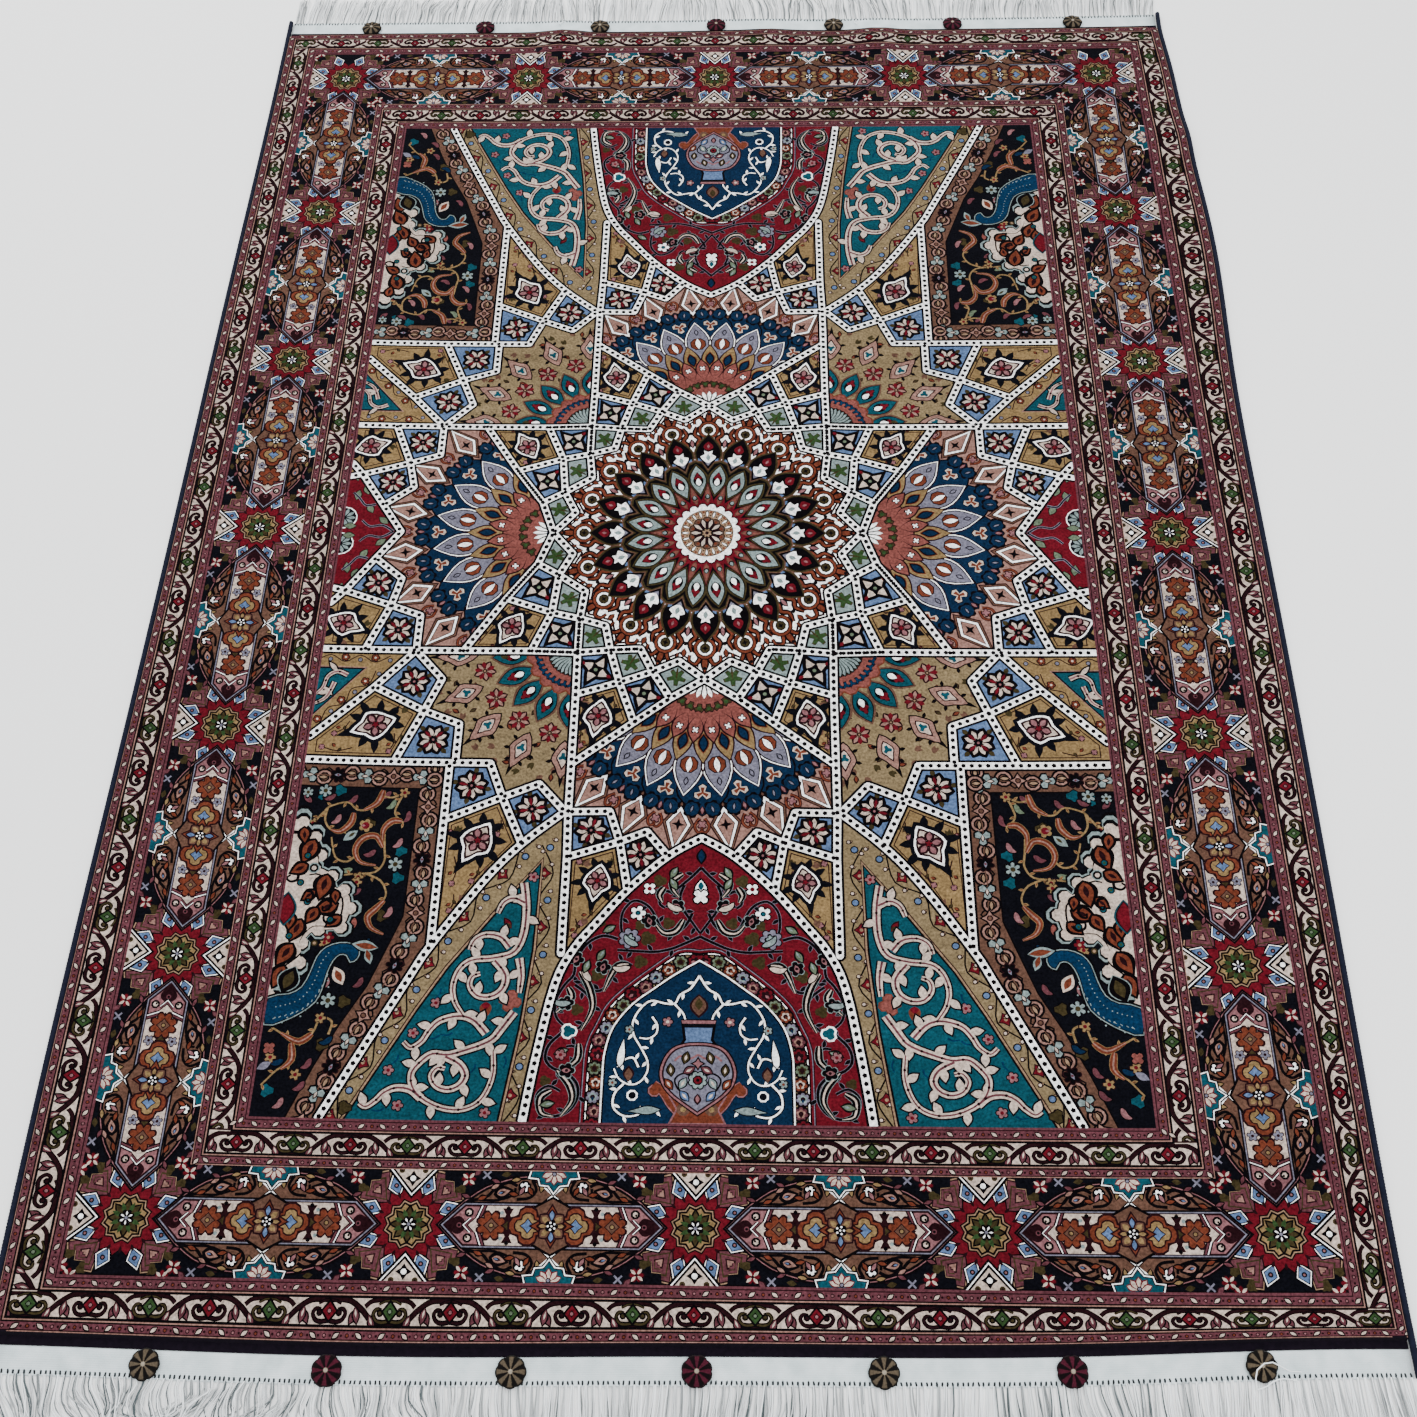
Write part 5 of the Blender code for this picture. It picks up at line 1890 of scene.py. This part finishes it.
def stitches(name, end):
    """Short dark stitches over the edge where the flat weave ends."""
    made, chance = bmesh.new(), random.Random(11 + end)
    count = int(2 * HALF_WIDTH / STITCH_PITCH)
    for k in range(count):
        u = -HALF_WIDTH + (k + 0.5) * 2 * HALF_WIDTH / count + chance.uniform(-0.6, 0.6) * MM
        lean, long = chance.uniform(-0.5, 0.5) * MM, chance.uniform(2.6, 3.4) * MM
        for vert in bmesh.ops.create_icosphere(made, subdivisions=1, radius=1)["verts"]:
            a, b, c = vert.co
            v = end * STITCH_LINE + long * b + 0.8 * lean * a
            vert.co = (u + 1.35 * MM * a + 0.9 * lean * b, v, KILIM_TOP * 0.95 + 0.9 * MM * c)
    return add_piece(name, laid(made, lambda spots: spots[:, 2]), stitch_thread)


kilim_near, kilim_far = flat_weave("flat_weave_near", -1), flat_weave("flat_weave_far", 1)
stitch_near, stitch_far = stitches("stitches_near", -1), stitches("stitches_far", 1)

# %% [markdown]
# ## The fringe
# About a thousand cotton yarns hang from each end. They are free to wander, cling together in locks and lie
# over each other. Each is a curve with a round bevel. A lock's yarns start close together and fan out a
# little towards their tips, and where feet have passed the locks are swept round.

# %% Fringe
# The ramp's dark end is partly greyer yarn and partly painted shadow in the gaps between yarns.
fringe_cotton = plain_yarn("cotton_warp_yarn", "#4a5355", "#fbfdfe", None, 0.9 * MM, by="strand")
YARNS_PER_END, YARN_RADIUS, LOCKS = 1040, 0.72 * MM, 208
# end, u, reach across, sideways push and curl of the places where the fringe is tangled, in mm
TANGLES = (
    (-1, -640, 130, 26, 10), (-1, -480, 110, -30, 14), (-1, -300, 90, 22, 9), (-1, 80, 70, -10, 3),
    (-1, 420, 80, 12, 4), (1, -500, 120, 10, 3), (1, 150, 120, -9, 3), (1, 560, 110, 9, 3),
)
# end, and then u, distance past the pile and height of each point of a thread that has come loose, in mm
LOOSE_THREADS = (
    (-1, (578, 37, 4), (577, 28, 9), (579, 20, 11.5), (587, 14, 12), (596, 13, 11.5), (605, 17, 8),
    (614, 21, 4),
     (626, 22, 3.4)),
    (-1, (578, 38, 4), (587, 36, 7), (596, 30, 10), (608, 28, 6), (622, 31, 3.6)),
    (1, (-268, 2, 11.5), (-266, 8, 8), (-270, 16, 4), (-262, 24, 3.4)),
    (1, (238, 2, 11), (241, 9, 7), (236, 17, 4), (240, 26, 3.4)),
)
SHARES = np.linspace(0, 1, 8)  # how far along its yarn each point is


def fringe_yarns(end):
    """For each yarn its points' u, distance from the rug's middle and height, and its shade from 0 to 1."""
    chance = random.Random(21 + end)
    tangles = [tangle[1:] for tangle in TANGLES if tangle[0] == end]
    pitch = 2 * HALF_WIDTH / LOCKS
    sway = [5 * math.sin(k / 6.1) + 3 * math.sin(k / 2.3) + chance.uniform(-3.5, 3.5) for k in range(LOCKS)]
    reach = [chance.uniform(0.86, 1.0) for _ in range(LOCKS)]
    found = []
    for k in range(YARNS_PER_END):
        u = -HALF_WIDTH + (k + 0.5) * 2 * HALF_WIDTH / YARNS_PER_END
        lock = min(LOCKS - 1, int((u + HALF_WIDTH) / pitch))
        own = -HALF_WIDTH + (lock + 0.5) * pitch
        phase, wave, rank = chance.uniform(0, 6.3), chance.uniform(0.6, 2.4) * MM, chance.random()
        along = FRINGE_LENGTH * reach[lock] * chance.uniform(0.86, 1.0) * SHARES
        across = own + (u - own) * (0.35 + 0.9 * SHARES) + sway[lock] * MM * SHARES**1.3
        across = across + wave * np.sin(phase + SHARES * chance.uniform(4, 10)) * SHARES
        tangle_darkening = 0
        for middle, wide, push, curl in tangles:
            near = bell(u, middle, wide)
            across = across + near * push * MM * SHARES**2 * (1 + 0.3 * math.sin(phase))
            across = across + near * curl * MM * np.sin(5 * SHARES + u / (14 * MM)) * SHARES
            along = along - near * curl * 0.7 * MM * (1 - np.cos(4 * SHARES + phase)) * SHARES
            tangle_darkening += near
        level = (0.35 + (0.5 + 2.2 * rank) * (1 - 0.35 * SHARES)) * MM
        level = level + 1.5 * MM * np.exp(-(((SHARES - 0.45) / 0.25) ** 2)) * rank
        # Each yarn gets a random shade, darker in the tangles: partly its own tone, partly painted shadow in
        # the gaps between yarns.
        shade = 0.25 + 0.5 * chance.random() ** (0.55 + 0.35 * min(tangle_darkening, 1))
        found.append((np.clip(across, -HALF_WIDTH, HALF_WIDTH), KILIM_OUTER - 1.5 * MM + along,
            level, shade))
    for at_end, *spots in LOOSE_THREADS:
        if at_end == end:
            spots = np.array(spots) * MM
            u, v, level = (np.interp(SHARES, np.linspace(0, 1, len(spots)), column) for column in spots.T)
            found.append((u, HALF_LENGTH + v, level, 0.75))
    return found


def fringe(name, end):
    curve = bpy.data.curves.new(name, "CURVE")
    curve.dimensions, curve.bevel_depth, curve.bevel_resolution = "3D", YARN_RADIUS, 0
    yarns = fringe_yarns(end)
    for across, along, level, _ in yarns:
        x, y, lift = lie(across, end * along)
        spline = curve.splines.new("POLY")
        spline.points.add(len(SHARES) - 1)
        for point, share, *spot in zip(spline.points, SHARES, x, y, np.maximum(level, YARN_RADIUS) + lift):
            point.co = (*spot, 1)
            point.radius = 1 - 0.3 * share**3
        spline.use_smooth = True
    source = add_object(name + "_curve", curve)
    mesh = bpy.data.meshes.new_from_object(source.evaluated_get(bpy.context.evaluated_depsgraph_get()))
    bpy.data.objects.remove(source)
    mesh.name = name
    mesh.materials.clear()
    mesh.materials.append(fringe_cotton)
    per_yarn = len(mesh.vertices) // len(yarns)
    strand = mesh.attributes.new("strand", "FLOAT", "POINT")
    strand.data.foreach_set("value", np.repeat(np.array([yarn[3] for yarn in yarns], np.float32), per_yarn))
    print(name, "has", len(mesh.polygons), "faces,", per_yarn, "corners to a yarn")
    return add_object(name, mesh)


fringe_near, fringe_far = fringe("fringe_near", -1), fringe("fringe_far", 1)

# %% [markdown]
# ## The rosettes
# Seven small wool buttons are sewn on each flat-woven end, olive-brown and maroon in turn. Each is worked
# like a flower: eight pale petals with dark wool between them, a dark rim and a tiny pale eye.

# %% Rosettes
ROSETTE_ROWS = {"near": (194, 4, 15.5, -1), "far": (200, 1, 10,
    1)}  # pitch, shift right, way from the pile, end
ROSETTE_RADIUS, PETALS, EYE = 17 * MM, 8, "#8f8474"
# radius and height of the button's profile, in mm, from the middle of its top to the middle of its back
BUTTON = (
    (0, 9.6), (1.6, 10), (4, 9.7), (8, 9.6), (12, 9), (15, 7.4), (16.8, 5.6), (16.2, 4), (12, 2.9),
    (0, 2.6),
)


def rosette_material(name, petal_hex, gap_hex, rim_hex):
    """One material for the whole button: its colours follow the angle and the radius in its own UV map."""
    made, shader = new_material(name, 0.9, sheen=0.03, specular=0.05)
    petal_map = add_node(made, "ShaderNodeUVMap", {"uv_map": "petals"}).outputs[0]
    turn, out, _ = add_node(made, "ShaderNodeSeparateXYZ", Vector=petal_map).outputs
    fuzz = noise(made, add_node(made, "ShaderNodeTexCoord").outputs["Object"], 1.6 * MM)
    wave = maths(made, "COSINE", maths(made, "MULTIPLY", turn, PETALS * 2 * math.pi))
    wave = maths(made, "MULTIPLY_ADD", fuzz, 0.8, wave)
    body = linear(gap_hex)
    for source, start, end, color in (
        (wave, 0.2, 0.8, petal_hex), (out, 0.84, 0.92, rim_hex), (out, 0.17, 0.1, EYE),
    ):
        share = ranged(made, source, 0.0, 1.0, start, end)
        mix = add_node(made, "ShaderNodeMix", {"data_type": "RGBA"}, _0=share, _6=body, _7=linear(color))
        body = mix.outputs[2]
    body = shaded(made, body, ranged(made, fuzz, 0.7, 1.3))
    return finish_material(made, shader, body, fuzz, 0.6, 0.8 * MM)


def button_mesh(middle, turned):
    """A domed button with eight swelling petals, spun from its profile, as a mesh."""
    made = bmesh.new()
    spots = [made.verts.new((radius * MM, 0, height * MM)) for radius, height in BUTTON]
    profile = [made.edges.new(pair) for pair in zip(spots, spots[1:])]
    bmesh.ops.spin(made, geom=spots + profile, axis=(0, 0, 1), cent=(0, 0, 0), angle=2 * math.pi, steps=48)
    bmesh.ops.remove_doubles(made, verts=made.verts, dist=1e-5)
    for vert in made.verts:
        out = vert.co.xy.length / ROSETTE_RADIUS
        swell = abs(math.cos(PETALS / 2 * math.atan2(vert.co.y, vert.co.x))) ** 0.7
        if out > 0.6:
            vert.co.xy *= 0.93 + 0.07 * swell
        if vert.co.z > 5 * MM:
            vert.co.z -= (1 - swell) * 1.3 * MM * math.sin(math.pi * min(1, out))
    bmesh.ops.recalc_face_normals(made, faces=made.faces)
    bmesh.ops.rotate(made, verts=made.verts, cent=(0, 0, 0), matrix=Matrix.Rotation(turned, 3, "Z"))
    layer = made.loops.layers.uv.new("petals")
    for face in made.faces:
        face_turn = math.atan2(*face.calc_center_median().yx) / (2 * math.pi)
        for loop in face.loops:
            out = loop.vert.co.xy.length
            turn = math.atan2(*loop.vert.co.yx) / (2 * math.pi) if out > 1e-5 else face_turn
            loop[layer].uv = (turn + round(face_turn - turn), out / ROSETTE_RADIUS)
    bmesh.ops.translate(made, verts=made.verts, vec=middle)
    mesh = bpy.data.meshes.new("button")
    made.to_mesh(mesh)
    made.free()
    return mesh


def rosettes(name, row, ranks, material):
    pitch, shift, way, end = ROSETTE_ROWS[row]
    made = bmesh.new()
    for k in ranks:
        middle = lie(((k - 3) * pitch + shift) * MM, end * (HALF_LENGTH + way * MM))
        button = button_mesh([float(part) for part in middle], 0.4 * k)
        made.from_mesh(button)
        bpy.data.meshes.remove(button)
    return add_piece(name, made, material)


brown_wool = rosette_material("olive_brown_rosette_wool", "#4c4235", "#0d0b0a", "#12100e")
maroon_wool = rosette_material("maroon_rosette_wool", "#3d121f", "#0b0507", "#14090c")
rosette_pieces = {}
for row in ROSETTE_ROWS:
    rosette_pieces[row, "brown"] = rosettes(f"rosettes_{row}_brown", row, (0, 2, 4, 6), brown_wool)
    rosette_pieces[row, "maroon"] = rosettes(f"rosettes_{row}_maroon", row, (1, 3, 5), maroon_wool)

# %% [markdown]
# ## Put the new pieces in place of the CAD solids
# Each new piece takes the place of its CAD solid, which is hidden, and rides on the rug's one body. The rug
# and its flat-woven ends lie flat on the floor.

# %% Hide the CAD solids and attach the new pieces to the rug's body
for piece in pile_zones + [foundation]:
    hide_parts("pile")
for piece, node in ((cord_left, "side_cord_left"), (cord_right, "side_cord_right")):
    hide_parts(node)
ends = {"near": (kilim_near, fringe_near, stitch_near), "far": (kilim_far, fringe_far, stitch_far)}
for row, group in ends.items():
    for piece in group:
        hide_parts(f"woven_end_{row}")
for (row, wool_name), piece in rosette_pieces.items():
    ranks = (1, 3, 5, 7) if wool_name == "brown" else (2, 4, 6)
    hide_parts(*[f"rosette_{row}_{k}" for k in ranks])
everything = [
    *pile_zones, foundation, cord_left, cord_right, *ends["near"], *ends["far"], *rosette_pieces.values(),
]
for piece in everything:
    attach(piece, "root")

# %% Sizes, and the end
print("faces in all:", sum(len(piece.data.polygons) for piece in everything))
